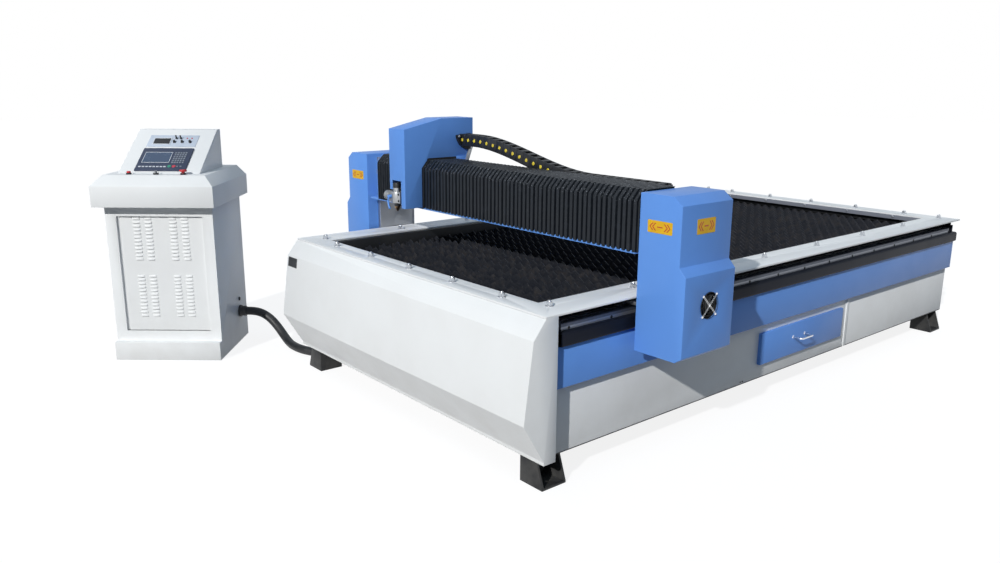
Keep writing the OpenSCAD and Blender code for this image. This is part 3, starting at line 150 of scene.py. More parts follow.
world = bpy.data.worlds.new("sky")
scene.world = world
world.use_nodes = True
w = Wire(world.node_tree)
shows = w.node("LightPath", out="Is Camera Ray")
mirrored = (w.node("LightPath", out="Is Glossy Ray")
            | w.node("LightPath", out="Is Transmission Ray"))
way = w.node("TexCoord", out="Generated")
up = way.part("Z").rise(-0.05, 1.0)
behind = (way.part("Y") * 0.64 - way.part("X") * 0.77).rise(0.1, 1.0)
dome = behind.mix(up.mix((0.035, 0.045, 0.056, 1), (0.30, 0.38, 0.46, 1)), (0.36, 0.39, 0.42, 1))
sky = w.node("Background", {}, {"Color": dome, "Strength": 1.0})
white = w.node("Background", {}, {"Color": (1, 1, 1, 1), "Strength": 1.0})
soft = w.node("Background", {}, {"Color": (0.62, 0.66, 0.71, 1), "Strength": 1.0})
lit = w.node("MixShader", {}, {0: mirrored, 1: sky, 2: soft})
shader_of(world, w.node("MixShader", {}, {0: shows, 1: lit, 2: white}))

floor_half = 30
bm = bmesh.new()
bmesh.ops.create_grid(bm, x_segments=1, y_segments=1, size=floor_half)
mesh = bpy.data.meshes.new("floor")
bm.to_mesh(mesh)
bm.free()
floor = bpy.data.objects.new("floor", mesh)
scene.collection.objects.link(floor)
ground = bpy.data.materials.new("floor")
ground.use_nodes = True
w = Wire(ground.node_tree)
lift = w.node("LightPath", out="Is Camera Ray") | w.node("LightPath", out="Is Glossy Ray")
shader_of(ground, w.node("AddShader", {}, {
    0: w.node("BsdfDiffuse", {}, {"Color": (0.21, 0.21, 0.215, 1)}),
    1: w.node("Emission", {}, {"Color": (1, 1, 1, 1), "Strength": lift * 0.86})}))
mesh.materials.append(ground)


# --- Control hose -------------------------------------------------------------------------
# A smooth black rubber hose of 50 mm that carries the cables from the console's side to the
# bed's front cross tube. Both ends sit in black nylon glands.
def finish(name, slot, look):
    """A material for one of the record's slots; look(wire) gives its shader's values."""
    made = bpy.data.materials.new(name)
    made.use_nodes = True
    made["slot"] = slot
    tree = made.node_tree
    shader = tree.nodes["Principled BSDF"]
    for key, value in look(Wire(tree)).items():
        if isinstance(value, Wire):
            tree.links.new(value.socket, shader.inputs[key])
        else:
            shader.inputs[key].default_value = value
    return made


def moulded(colour, pale, rough):
    """Moulded plastic or rubber: a fine grain, with handling marks a little paler."""
    def look(w):
        at = w.place()
        marks = at.noise(14.0, 4.0).rise(0.42, 0.72)
        return {"Base Color": marks.mix((*colour, 1), (*pale, 1)),
                "Roughness": rough + marks * 0.12,
                "Normal": at.noise(900.0, 2.0).bump(0.00008)}
    return look


hose_rubber = finish("hose_rubber", "hose_rubber",
                     moulded((0.012, 0.013, 0.015), (0.03, 0.031, 0.034), 0.48))
black_nylon = finish("black_nylon", "black_plastic",
                     moulded((0.011, 0.012, 0.014), (0.03, 0.031, 0.034), 0.42))


def object_of(name, mesh, body, material, nodes=()):
    """An object for a finished mesh or curve, riding on its body and standing for CAD nodes."""
    mesh.materials.append(material)
    made = bpy.data.objects.new(name, mesh)
    scene.collection.objects.link(made)
    if body:
        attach(made, body)
    if nodes:
        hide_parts(*nodes)
    return made


def piece(name, bm, body, material, nodes=(), turn=32):
    """A bmesh made into an object: doubles merged, normals out, edges sharp above an angle."""
    bmesh.ops.remove_doubles(bm, verts=bm.verts, dist=2e-6)
    bmesh.ops.recalc_face_normals(bm, faces=bm.faces)
    mesh = bpy.data.meshes.new(name)
    bm.to_mesh(mesh)
    bm.free()
    mesh.shade_smooth()
    mesh.set_sharp_from_angle(angle=radians(turn))
    return object_of(name, mesh, body, material, nodes)


def rounded(bm, edges, width, steps):
    """Rounds edges off, never past what their faces leave room for."""
    bmesh.ops.bevel(bm, geom=edges, offset=width, segments=steps, profile=0.5,
                    affect="EDGES", clamp_overlap=True, material=-1)


def softened(node, part, body, material, width, steps=2, turn=28):
    """A CAD node shown by its own form, flats joined up and edges rounded."""
    bm = bmesh.new()
    bm.from_mesh(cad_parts[node].data)
    bmesh.ops.remove_doubles(bm, verts=bm.verts, dist=2e-5)
    bmesh.ops.dissolve_limit(bm, angle_limit=radians(0.4), verts=bm.verts, edges=bm.edges)
    rounded(bm, [e for e in bm.edges
                 if len(e.link_faces) == 2 and e.calc_face_angle() > radians(turn)], width, steps)
    piece(f"{node}.{part}", bm, body, material, [node])


hose_points = [Vector(p) / 1000 for p in [
    (-1644, -1837, 185), (-1600, -1784, 185), (-1543, -1742, 158), (-1480, -1716, 105),
    (-1410, -1706, 52), (-1340, -1708, 26), (-1270, -1714, 26), (-1190, -1710, 26),
    (-1110, -1682, 26), (-1035, -1638, 26), (-960, -1582, 26), (-895, -1520, 26),
    (-845, -1455, 26), (-815, -1390, 50), (-803, -1325, 98), (-800, -1257, 146),
    (-800, -1188, 170), (-800, -1120, 170)]]


def spline(points, steps):
    """A uniform cubic B-spline that starts and ends on its end points, as in the part's source."""
    last = len(points) - 1

    def knot(i):
        return points[max(0, min(last, i))]

    line = [points[0].copy()]
    for i in range(last + 1):
        for k in range(steps if i < last else 1):
            t = k / steps
            if i or k:
                line.append(((1 - t) ** 3 * knot(i - 1)
                             + (3 * t ** 3 - 6 * t ** 2 + 4) * knot(i)
                             + (-3 * t ** 3 + 3 * t ** 2 + 3 * t + 1) * knot(i + 1)
                             + t ** 3 * knot(i + 2)) / 6)
    return line + [points[last].copy()]


hose_line = spline(hose_points, 8)
curve = bpy.data.curves.new("control_hose", "CURVE")
curve.dimensions = "3D"
curve.bevel_depth = 0.025
curve.bevel_resolution = 8
curve.use_fill_caps = True
strand = curve.splines.new("POLY")
strand.points.add(len(hose_line) - 1)
for point, at in zip(strand.points, hose_line):
    point.co = (*at, 1)
hose = object_of("control_hose.tube", curve, "bed", hose_rubber, ["control_hose"])
softened("hose_glands", "nylon", "bed", black_nylon, 0.003, 3)


# --- Bed frame and feet -------------------------------------------------------------------
# Lengths of square steel tube welded into a frame and sprayed matt black. It stands on four
# gusseted feet of plate, each with a hole for a floor anchor.
def coated(colour, worn, rough, shine=0.3, floor_dust=0.0):
    """Sprayed or powder-coated steel: soft clouds, fine orange peel, dust towards the floor."""
    def look(w):
        at = w.place()
        cloud = at.noise(2.6, 5.0).rise(0.38, 0.68)
        scuff = at.noise(38.0, 4.0, 0.7).rise(0.60, 0.78)
        low = 1.0 - at.part("Z").rise(0.02, 0.55)
        dust = low * at.noise(9.0, 5.0).rise(0.3, 0.75) * floor_dust
        body = (cloud * 0.6 + scuff * 0.3).mix((*colour, 1), (*worn, 1))
        return {"Base Color": dust.mix(body, (0.52, 0.50, 0.46, 1)),
                "Roughness": rough + cloud * 0.06 + scuff * 0.05 + dust * 0.2,
                "Normal": at.noise(620.0, 2.0).bump(0.00006),
                "Specular IOR Level": shine}
    return look


white_sheet = coated((0.86, 0.875, 0.885), (0.82, 0.83, 0.835), 0.38, floor_dust=0.16)
blue_sheet = coated((0.135, 0.330, 0.820), (0.122, 0.300, 0.765), 0.36, 0.22, 0.06)
black_sheet = coated((0.009, 0.010, 0.012), (0.026, 0.027, 0.030), 0.46, floor_dust=0.10)
white_coat = finish("white_coat", "white_paint", white_sheet)
blue_coat = finish("blue_coat", "blue_paint", blue_sheet)
black_coat = finish("black_coat", "black_paint", black_sheet)

softened("bed_frame", "tube", "bed", black_coat, 0.004)
softened("feet", "plate", "bed", black_coat, 0.0015)

# --- Bed covers ---------------------------------------------------------------------------
# Folded white sheet: the apron with its end plates, the side and rear panels and the rim of
# flat plates on top. A blue band runs along each side above the panels.
quarter = radians(90)


def spot(x, y, z, angle=0.0, axis="X"):
    """A place in space, turned about one axis."""
    return Matrix.Translation((x, y, z)) @ Matrix.Rotation(angle, 4, axis)


def slab(bm, x, y, z, place=Matrix(), edge=0.0, steps=2):
    """Adds a block between three ranges, its edges rounded."""
    size = [b - a for a, b in (x, y, z)]
    middle = Matrix.Translation([(a + b) / 2 for a, b in (x, y, z)])
    at = middle @ Matrix.Diagonal((*size, 1))
    made = bmesh.ops.create_cube(bm, size=1, matrix=place @ at)["verts"]
    if edge:
        rounded(bm, list({e for v in made for e in v.link_edges}), edge, steps)


def turned(bm, profile, sides, place):
    """Adds a solid turned from (radius, height) points about a place's Z axis."""
    line = [bm.verts.new(place @ Vector((r, 0, z))) for r, z in profile]
    edges = [bm.edges.new(pair) for pair in zip(line, line[1:])]
    bmesh.ops.spin(bm, geom=line + edges, cent=place.translation,
                   axis=place.to_3x3() @ Vector((0, 0, 1)), angle=2 * pi, steps=sides,
                   use_merge=True)


def domed(wide, side, crown, shoulder, high, base=0.0):
    """The profile of a head with straight sides, a sloping shoulder and a shallow crown."""
    return [(0, base), (wide, base), (wide, side), (crown, shoulder), (0, high)]


softened("front_apron", "sheet", "bed", white_coat, 0.0014, turn=12)
black_foil = finish("black_foil", "black_plastic",
                    moulded((0.012, 0.013, 0.016), (0.02, 0.021, 0.024), 0.3))
apron_lean = atan2(44, 328)
blank_x, blank_thick, blank_z = (-0.985, -0.888), (-0.0010, 0.0), (-0.026, 0.026)
bm = bmesh.new()
slab(bm, blank_x, blank_thick, blank_z, spot(0, -1.8563, 0.6140, -apron_lean), 0.0004, 1)
piece("apron_plate.blank", bm, "bed", black_foil)

panel_x, panel_y, skin_depth = 0.9490, 1.7890, 0.0012


def painted_shade_inside(w):
    """The panels' white coat, with painted shade: black on the faces inside the bed."""
    look = white_sheet(w)
    at = w.place()
    # Painted shade: every face inside the bed is coloured black, and only the outer faces stay
    # white.
    outside = (w.math("ABSOLUTE", at.part("X"), 0.0).rise(panel_x - skin_depth, panel_x)
               | at.part("Y").rise(panel_y - skin_depth, panel_y))
    look["Base Color"] = outside.mix((0.030, 0.030, 0.032, 1), look["Base Color"])
    return look


panel_coat = finish("panel_coat", "white_paint", painted_shade_inside)
softened("side_panels", "sheet", "bed", panel_coat, 0.0010)
# Painted shade: a thin black strip along each side panel's foot stands for the shadowed gap and
# underside there. Two small domed screws sit on each panel.
shade_strip_x, shade_strip_y, shade_strip_z = (0.9465, 0.9502), (-1.726, 1.787), (0.1255, 0.1302)
screw_x, screw_z = 0.950, 0.1392
bm = bmesh.new()
for s in (-1, 1):
    slab(bm, sorted(s * x for x in shade_strip_x), shade_strip_y, shade_strip_z, edge=0.0008, steps=1)
    for y in (-0.428, -0.411):
        turned(bm, domed(0.0042, 0.0008, 0.0030, 0.0020, 0.0022), 14,
               spot(s * screw_x, y, screw_z, s * quarter, "Y"))
piece("side_panels.shade_strip_and_screws", bm, "bed", black_coat)
strip_x, strip_y, strip_z = (0.9495, 0.9555), (0.5430, 0.5680), (0.1300, 0.4200)
bm = bmesh.new()
for s in (-1, 1):
    slab(bm, sorted(s * x for x in strip_x), strip_y, strip_z, edge=0.0010)
piece("side_panels.joint_strip", bm, "bed", white_coat)
softened("blue_bands", "sheet", "bed", blue_coat, 0.0015)
softened("rim", "plate", "bed", white_coat, 0.0018)


# --- Rim bolts ----------------------------------------------------------------------------
# Zinc-plated studs with hex nuts and washers that hold the rim down, eight along each side and
# five across each end. The rear rim's steel lip is held by five dome heads.
def machined(colour, rough, along=(1.0, 1.0, 1.0), grease_and_reflection=0.0):
    """Bare metal: fine tool marks stretched one way, and a film of grease where it is used."""
    def look(w):
        at = w.place()
        marks = at.stretch(*along).noise(240.0, 3.0)
        film = at.noise(16.0, 4.0).rise(0.5, 0.75) * grease_and_reflection
        return {"Base Color": film.mix((*colour, 1), (0.05, 0.045, 0.04, 1)),
                "Metallic": 1.0 - film * 0.6,
                "Roughness": rough + marks * 0.16 + film * 0.2,
                "Normal": marks.bump(0.00004)}
    return look


chrome = finish("chrome", "chrome", machined((0.80, 0.81, 0.83), 0.10))
zinc = finish("zinc", "chrome", machined((0.72, 0.73, 0.75), 0.20))
lip_steel = finish("lip_steel", "grey_plate", machined((0.35, 0.37, 0.43), 0.5))
bright_steel = finish("bright_steel", "bright_steel",
                      machined((0.60, 0.61, 0.63), 0.24, (1.0, 0.05, 1.0), 0.35))


def hex_nut(bm, place, r, t):
    """Adds a hex nut with its turned chamfers, on a washer, and the stud's threaded end."""
    washer = [(0, 0), (r * 1.31, 0), (r * 1.31, t * 0.13), (r * 1.24, t * 0.2), (0, t * 0.2)]
    nut = [(0, t * 0.2), (r * 0.90, t * 0.2), (r, t * 0.30), (r, t * 1.10), (r * 0.86, t * 1.2),
           (0, t * 1.2)]
    thread = [(0, t * 1.2)]
    for k in range(3):
        thread += [(r * 0.50, t * (1.2 + 0.11 * k)), (r * 0.53, t * (1.255 + 0.11 * k))]
    thread += [(r * 0.50, t * 1.53), (r * 0.36, t * 1.6), (0, t * 1.6)]
    for profile, sides in ((washer, 24), (nut, 6), (thread, 16)):
        turned(bm, profile, sides, place)


nut_half, nut_thick = 0.013, 0.015
side_x, side_first, side_step = 0.893, -1.675, 3.405 / 7
end_y, end_first, end_step = 1.730, -0.670, 0.335
rim_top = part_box("rim")[1].z
bm = bmesh.new()
for s in (-1, 1):
    for i in range(8):
        hex_nut(bm, spot(s * side_x, side_first + side_step * i, rim_top), nut_half, nut_thick)
    for i in range(5):
        hex_nut(bm, spot(end_first + end_step * i, s * end_y, rim_top), nut_half, nut_thick)
piece("rim_bolts.hex", bm, "bed", zinc, ["rim_bolts"])
lip_x, lip_y, lip_z = (-0.829, 0.829), (1.6725, 1.6750), (0.6950, 0.7220)
head_first, head_step, head_z = -0.648, 0.318, 0.711
bm = bmesh.new()
slab(bm, lip_x, lip_y, lip_z, edge=0.0006, steps=1)
piece("rim_lip.strip", bm, "bed", lip_steel)
bm = bmesh.new()
for i in range(5):
    turned(bm, domed(0.0075, 0.0035, 0.0055, 0.0055, 0.006), 14,
           spot(head_first + head_step * i, lip_y[0], head_z, quarter))
piece("rim_lip.heads", bm, "bed", zinc)


# --- Cutting bed --------------------------------------------------------------------------
# Sawtooth slats of unpainted plate in notched bars over a slag tray, blackened and rusty on top
# where the torch has passed.
def scorched(w):
    """Bare plate gone dark, with rust in patches and burnt scale on the slats' tops."""
    at = w.place()
    rust = at.noise(22.0, 6.0, 0.65).rise(0.45, 0.7)
    burnt = at.part("Z").rise(0.63, 0.69)
    scale = at.stretch(1.0, 1.0, 3.0).noise(120.0, 4.0)
    base = rust.mix((0.015, 0.018, 0.026, 1), (0.027, 0.024, 0.024, 1))
    return {"Base Color": (burnt * scale.rise(0.4, 0.7)).mix(base, (0.044, 0.045, 0.052, 1)),
            "Metallic": 0.30 - rust * 0.25,
            "Roughness": 0.52 + rust * 0.3,
            "Normal": scale.bump(0.0003),
            "Specular IOR Level": 0.3}


def dress(node, material):
    """A CAD node that shows as it is, in a finished material."""
    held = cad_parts[node]
    if held.material_slots:
        held.material_slots[0].material = material
    else:
        held.data.materials.append(material)


slat_steel = finish("slat_steel", "dark_steel", scorched)
for node in ("slat_supports", "slats", "slag_tray"):
    dress(node, slat_steel)


# --- Side drives --------------------------------------------------------------------------
# Under each rim runs a rail beam of black-painted steel. It carries a ground guide rail and a
# toothed rack in lengths, which is held by a row of socket head screws.
def rack_painted_reflection(w):
    """Ground rack steel, its band over the teeth painted dark blue as a reflection, unevenly."""
    at = w.place()
    marks = at.stretch(1.0, 0.08, 1.0).noise(260.0, 3.0)
    # Painted reflection: above 0.66 m the rack's face is coloured dark blue, where its upper face
    # would mirror the dark; the noise makes it uneven.
    grease_and_reflection = at.part("Z").rise(0.6595, 0.6635) * (0.72 + at.noise(34.0, 4.0) * 0.4)
    return {"Base Color": grease_and_reflection.mix((0.28, 0.30, 0.34, 1), (0.065, 0.075, 0.105, 1)),
            "Metallic": 0.65 - grease_and_reflection * 0.25,
            "Roughness": 0.30 + marks * 0.14 + grease_and_reflection * 0.08,
            "Normal": marks.bump(0.00005)}


rack_steel = finish("rack_steel", "bright_steel", rack_painted_reflection)
rail_black = finish("rail_black", "black_paint",
                    coated((0.005, 0.007, 0.014), (0.011, 0.013, 0.022), 0.5, 0.14))
softened("rail_beams", "tube", "bed", rail_black, 0.0015)
dress("guide_rails", bright_steel)
dress("racks", rack_steel)
rack_screw = [(0, 0.0004), (0.0034, 0.0004), (0.0036, 0.0016), (0.0060, 0.0016),
              (0.0065, 0.0010), (0.0065, 0)]
rack_face, rack_first, rack_step, rack_z = 0.968, -1.640, 0.240, 0.6545
bm = bmesh.new()
for s in (-1, 1):
    for i in range(15):
        turned(bm, rack_screw, 16,
               spot(s * rack_face, rack_first + rack_step * i, rack_z, s * quarter, "Y"))
piece("racks.socket_heads", bm, "bed", black_coat)


# --- Drawer -------------------------------------------------------------------------------
# A drawer folded from sheet steel and sprayed blue, with a bevelled front. It slides on bright
# steel runners and is pulled by a chromed bow handle on two rosettes.
def skin(bm, rows, around):
    """Adds faces between rows of points, all the way round or as an open strip."""
    for a, b in zip(rows, rows[1:]):
        count = len(a)
        for k in range(count if around else count - 1):
            after = (k + 1) % count
            bm.faces.new((a[k], a[after], b[after], b[k]))


def circle(count):
    return [2 * pi * k / count for k in range(count)]


def tube(bm, line, radius, sides=10, closed=False):
    """Adds a round bar along a line of points."""
    rings = []
    for i, at in enumerate(line):
        before = line[i - 1] if i or closed else at
        after = line[(i + 1) % len(line)] if i + 1 < len(line) or closed else at
        along = (after - before).normalized()
        aside = Vector((0.3, 0.2, 0.93)) if abs(along.z) < 0.8 else Vector((1, 0, 0))
        side = along.cross(aside).normalized()
        over = side.cross(along)
        rings.append([bm.verts.new(at + radius * (cos(a) * side + sin(a) * over))
                      for a in circle(sides)])
    skin(bm, rings + rings[:1] if closed else rings, True)
    if not closed:
        bm.faces.new(rings[0])
        bm.faces.new(list(reversed(rings[-1])))


softened("drawer", "box", "drawer", blue_coat, 0.0012)
dress("drawer_runners", bright_steel)
pull_at = spot(0.968, 0.042, 0.297, quarter, "Y")
reach, half, corner, bar = 0.053, 0.0545, 0.014, 0.0048
pull = [Vector((0, -half, 0)), Vector((0, -half, reach - corner))]
for s in (-1, 1):
    for k in range(1, 7):
        a = radians(15 * k) if s < 0 else radians(90 - 15 * (k - 1))
        pull.append(Vector((0, s * (half - corner + corner * cos(a)),
                            reach - corner + corner * sin(a))))
pull += [Vector((0, half, reach - corner)), Vector((0, half, 0))]
bm = bmesh.new()
tube(bm, [pull_at @ p for p in pull], bar, 12)
for s in (-1, 1):
    turned(bm, domed(0.0085, 0.002, 0.0065, 0.004, 0.004), 20, pull_at @ spot(0, s * half, 0))
piece("drawer_handle.bow", bm, "drawer", chrome, ["drawer_handle"])

# --- Gantry beam --------------------------------------------------------------------------
# A blue box beam between machined end plates, with its rails and rack on the front and a
# tray for the chain behind. The drives sit inside the towers.
grey_plate = finish("grey_plate", "grey_plate", machined((0.42, 0.43, 0.45), 0.36))
bronze = finish("bronze", "bronze", machined((0.60, 0.46, 0.22), 0.26, grease_and_reflection=0.5))
softened("gantry_beam", "box", "gantry", blue_coat, 0.002)
softened("end_plates", "plate", "gantry", grey_plate, 0.0012)
softened("drive_motors", "case", "gantry", black_coat, 0.003)
for node in ("bearing_blocks", "beam_rails", "beam_rack"):
    dress(node, bright_steel)
for node in ("pinion_right", "pinion_left"):
    dress(node, bronze)

# --- Towers -------------------------------------------------------------------------------
# Folded blue covers over both drives, each with a yellow travel plate on its front; the right
# one also has a plate on its side.
for node in ("tower_cover_right", "tower_cover_left"):
    softened(node, "sheet", "gantry", blue_coat, 0.003, 3, 15)


def outline(bm, points, low, high, place):
    """Adds a flat plate from an outline, between two heights above a place."""
    face = bm.faces.new([bm.verts.new(place @ Vector((x, y, low))) for x, y in points])
    made = bmesh.ops.extrude_face_region(bm, geom=[face])["geom"]
    rise = place.to_3x3() @ Vector((0, 0, high - low))
    bmesh.ops.translate(bm, verts=[v for v in made if isinstance(v, bmesh.types.BMVert)], vec=rise)


def rounded_plate(x, y, r):
    """The outline of a rectangle with round corners."""
    steps = 4
    corners = ((x - r, y - r, 0), (r - x, y - r, 90), (r - x, r - y, 180), (x - r, r - y, 270))
    return [(cx + r * cos(radians(a + 90 * k / steps)), cy + r * sin(radians(a + 90 * k / steps)))
            for cx, cy, a in corners for k in range(steps + 1)]


yellow_foil = finish("yellow_foil", "panel_foil",
                     moulded((0.80, 0.47, 0.008), (0.72, 0.41, 0.01), 0.46))
red_print = finish("red_print", "panel_foil",
                   moulded((0.55, 0.07, 0.02), (0.48, 0.06, 0.02), 0.40))
to_front = Matrix.Rotation(quarter, 4, "X")
to_flank = Matrix.Rotation(quarter, 4, "Z") @ to_front
tower_x, tower_front, plate_z = 1.130, -1.321, 1.0345
foil_top, print_top = 0.0008, 0.0011
plates, arrows = bmesh.new(), bmesh.new()
for place, wide, high in ((spot(tower_x, tower_front, plate_z) @ to_front, 0.061, 0.0245),
                          (spot(-tower_x, tower_front, plate_z) @ to_front, 0.061, 0.0245),
                          (spot(1.234, -1.1695, 1.0395) @ to_flank, 0.0570, 0.0300)):
    outline(plates, rounded_plate(wide, high, 0.004), 0.0, foil_top, place)
    arm, stroke = high * 0.62, 0.10
    for s in (-1, 1):
        for tip, base in ((0.86, 0.62), (0.64, 0.40)):
            outline(arrows, [(s * wide * share, y) for share, y in (
                (tip, 0), (base, arm), (base - stroke, arm),
                (tip - stroke, 0), (base - stroke, -arm), (base, -arm))],
                    foil_top, print_top, place)
    dash_x, dash_y = wide * 0.22, high * 0.09
    outline(arrows, [(dash_x, dash_y), (-dash_x, dash_y), (-dash_x, -dash_y), (dash_x, -dash_y)],
            foil_top, print_top, place)
piece("travel_plates.foil", plates, "gantry", yellow_foil)
piece("travel_plates.arrows", arrows, "gantry", red_print)

# --- Tower fan ----------------------------------------------------------------------------
# A black axial fan behind a wire guard, dark rings under a chromed cross, with four screws in
# the right tower's side.
dress("fan_frame", black_nylon)
dress("fan_rotor", black_nylon)
guard_x, guard_y, guard_z = 1.2678, -1.163, 0.725
ring_wire, cross_wire, cross_half, cross_reach = 0.0011, 0.0008, 0.0024, 0.060
screw_face, hub_face, screw_circle = 1.266, 1.2675, 0.059
bm = bmesh.new()
for r in (0.018, 0.030, 0.042, 0.054):
    tube(bm, [Vector((guard_x, guard_y + r * cos(a), guard_z + r * sin(a))) for a in circle(40)],
         ring_wire, 8, True)
piece("fan_guard.rings", bm, "gantry", black_coat, ["fan_guard"])
bm = bmesh.new()
hub = Vector((guard_x + 0.0012, guard_y, guard_z))
for a in (45, 135, 225, 315):
    out = Vector((0, cos(radians(a)), sin(radians(a))))
    for s in (-1, 1):
        over = out.cross(Vector((1, 0, 0))) * cross_half * s
        tube(bm, [hub + out * 0.004 + over, hub + out * cross_reach + over], cross_wire, 8)
    place = spot(screw_face, guard_y, guard_z, quarter, "Y")
    place.translation += out * screw_circle
    turned(bm, domed(0.0055, 0.002, 0.004, 0.0042, 0.0048), 16, place)
turned(bm, domed(0.006, 0.0015, 0.004, 0.0028, 0.003), 24,
       spot(hub_face, guard_y, guard_z, quarter, "Y"))
piece("fan_guard.cross", bm, "gantry", chrome, ["fan_guard"])


# --- Bellows ------------------------------------------------------------------------------
# Black coated cloth folded over the beam's front, chamfer and top. It is cut into runs that
# reach from the carriage to the right tower, and from the carriage to a frame at the left.
def coated_cloth(w):
    """Black cloth with a weave, worn in places, with painted glints as pale specks on its
    shoulder.
    """
    at = w.place()
    weave = at.noise(1400.0, 1.0)
    worn = at.noise(30.0, 4.0).rise(0.5, 0.75)
    # Painted glints: pale specks on the shoulder only, where the pleats' tops would catch the
    # light.
    painted_glints = at.noise(170.0, 2.0).rise(0.62, 0.70) * at.part("Z").rise(1.10, 1.13)
    body = worn.mix((0.009, 0.012, 0.017, 1), (0.015, 0.019, 0.026, 1))
    return {"Base Color": painted_glints.mix(body, (0.24, 0.26, 0.29, 1)),
            "Roughness": 0.40 + worn * 0.15,
            "Normal": weave.bump(0.0001),
            "Specular IOR Level": 0.32}


bellows_cloth = finish("bellows_cloth", "bellows_cloth", coated_cloth)


def unsmooth(share):
    """The t whose smoothstep is share."""
    low, high = 0.0, 1.0
    for _ in range(40):
        mid = (low + high) / 2
        low, high = (mid, high) if mid * mid * (3 - 2 * mid) < share else (low, mid)
    return (low + high) / 2


def gather(made, x_a, x_b, share_a, share_b):
    """Bakes a piece's transform; the blend for its ends to follow the carriage and the gantry is
    unused.
    """
    t_a, t_b = unsmooth(share_a), unsmooth(share_b)
    reach = (x_b - x_a) / (t_b - t_a)
    start = x_a - t_a * reach
    start + reach
    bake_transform(made)


def pleats(name, x_carriage, x_end, folds, runs):
    """A bellows from the carriage to its end: runs of whole box pleats, narrow gaps between."""
    front, back, foot, top = -1.3225, -1.104, 0.9205, 1.167
    chamfer, deep, lip, bend, hem, sway = 0.042, 0.024, 0.0016, 0.005, 0.0035, 0.0012
    ease = bend * 0.4
    step = (x_end - x_carriage) / folds
    for run in range(runs):
        first, last = folds * run // runs, folds * (run + 1) // runs
        stations = [(first, 0.0)]
        for k in range(first, last):
            stations += [(k + share, inward) for share, inward in (
                (0.25, 0.0), (0.30, lip), (0.43, deep), (0.57, deep), (0.70, lip), (0.75, 0.0))]
        bm = bmesh.new()
        rows = []
        for at, inward in stations + [(last, 0.0)]:
            x, y = x_carriage + step * at, front + inward + sway * sin(round(at) * 2.4)
            slant, high = inward * 0.55, top - inward
            rows.append([bm.verts.new(p) for p in (
                (x, y, foot - hem if inward < deep else foot),
                (x, y, top - chamfer - slant - bend),
                (x, y + ease, top - chamfer - slant + ease),
                (x, front + chamfer + slant - ease, high - ease),
                (x, front + chamfer + slant + bend, high),
                (x, back, high))])
        skin(bm, rows, False)
        one = piece(f"{name}.run_{run + 1}", bm, None, bellows_cloth, [name], 26)
        gather(one, x_carriage + step * first, x_carriage + step * last,
               first / folds, last / folds)


pleats("bellows_right", -0.4675, 1.0265, 54, 9)
pleats("bellows_left", -0.6125, -0.9105, 34, 4)
across = Matrix(((0, 0, 1, 0), (1, 0, 0, 0), (0, 1, 0, 0), (0, 0, 0, 1)))
frame_line = [(-1.3265, 0.9180), (-1.3265, 1.1270), (-1.2830, 1.1765), (-1.1000, 1.1765),
              (-1.1000, 1.1600), (-1.2900, 1.1600), (-1.3100, 1.1220), (-1.3100, 0.9180)]
frame_thick = 0.0023
bm = bmesh.new()
for x in (-0.4678, -0.6145):
    outline(bm, frame_line, x, x + frame_thick, across)
piece("bellows_frames.strip", bm, "carriage", black_coat)

# --- Cable chain --------------------------------------------------------------------------
# Black nylon links clipped together in a row, with a yellow dot each. The chain comes from an
# arm on the carriage down into the beam's tray, and is cut into runs.
fall_x, fall_long, chain_high, chain_low = -0.350, 0.830, 1.265, 1.133


def chain_z(x):
    """The height of the chain's middle line as it falls from the arm into the tray."""
    s = min(1.0, max(0.0, (x - fall_x) / fall_long))
    return chain_high + (chain_low - chain_high) * s * s * (3 - 2 * s)


yellow = finish("yellow_plastic", "grey_plastic",
                moulded((0.78, 0.62, 0.04), (0.70, 0.54, 0.05), 0.38))
chain_x, chain_y, link_pitch, links, runs = -0.4677, -1.078, 0.052, 27, 9
outer_walls, outer_z = ((0.0, 0.006), (0.054, 0.060)), (-0.031, 0.031)
inner_walls, inner_z = ((0.0015, 0.0075), (0.0525, 0.0585)), (-0.026, 0.026)
bar_x, bar_y, bar_heights = (0.014, 0.036), (0.003, 0.057), ((-0.031, -0.027), (0.027, 0.031))
gap, overlap, inner_from, dot_x = 0.002, 0.006, 0.030, 0.024
for run in range(runs):
    bm = bmesh.new()
    dots = bmesh.new()
    first, last = links * run // runs, links * (run + 1) // runs
    for i in range(first, last):
        x = chain_x + i * link_pitch
        lean = atan2(chain_z(x + link_pitch) - chain_z(x), link_pitch)
        place = spot(x, chain_y, chain_z(x), -lean, "Y")
        for y in outer_walls:
            slab(bm, (-gap if i else 0, link_pitch - gap), y, outer_z, place, 0.002)
        for y in inner_walls:
            slab(bm, (inner_from, link_pitch + overlap), y, inner_z, place, 0.002)
        for z in bar_heights:
            slab(bm, bar_x, bar_y, z, place, 0.001)
        turned(dots, domed(0.0088, 0.0008, 0.0075, 0.002, 0.0022), 16,
               place @ spot(dot_x, 0, 0, quarter))
    for one in (piece(f"cable_chain.links_{run + 1}", bm, None, black_nylon, ["cable_chain"]),
                piece(f"cable_chain.dots_{run + 1}", dots, None, yellow)):
        gather(one, chain_x + first * link_pitch, chain_x + last * link_pitch,
               first / links, last / links)

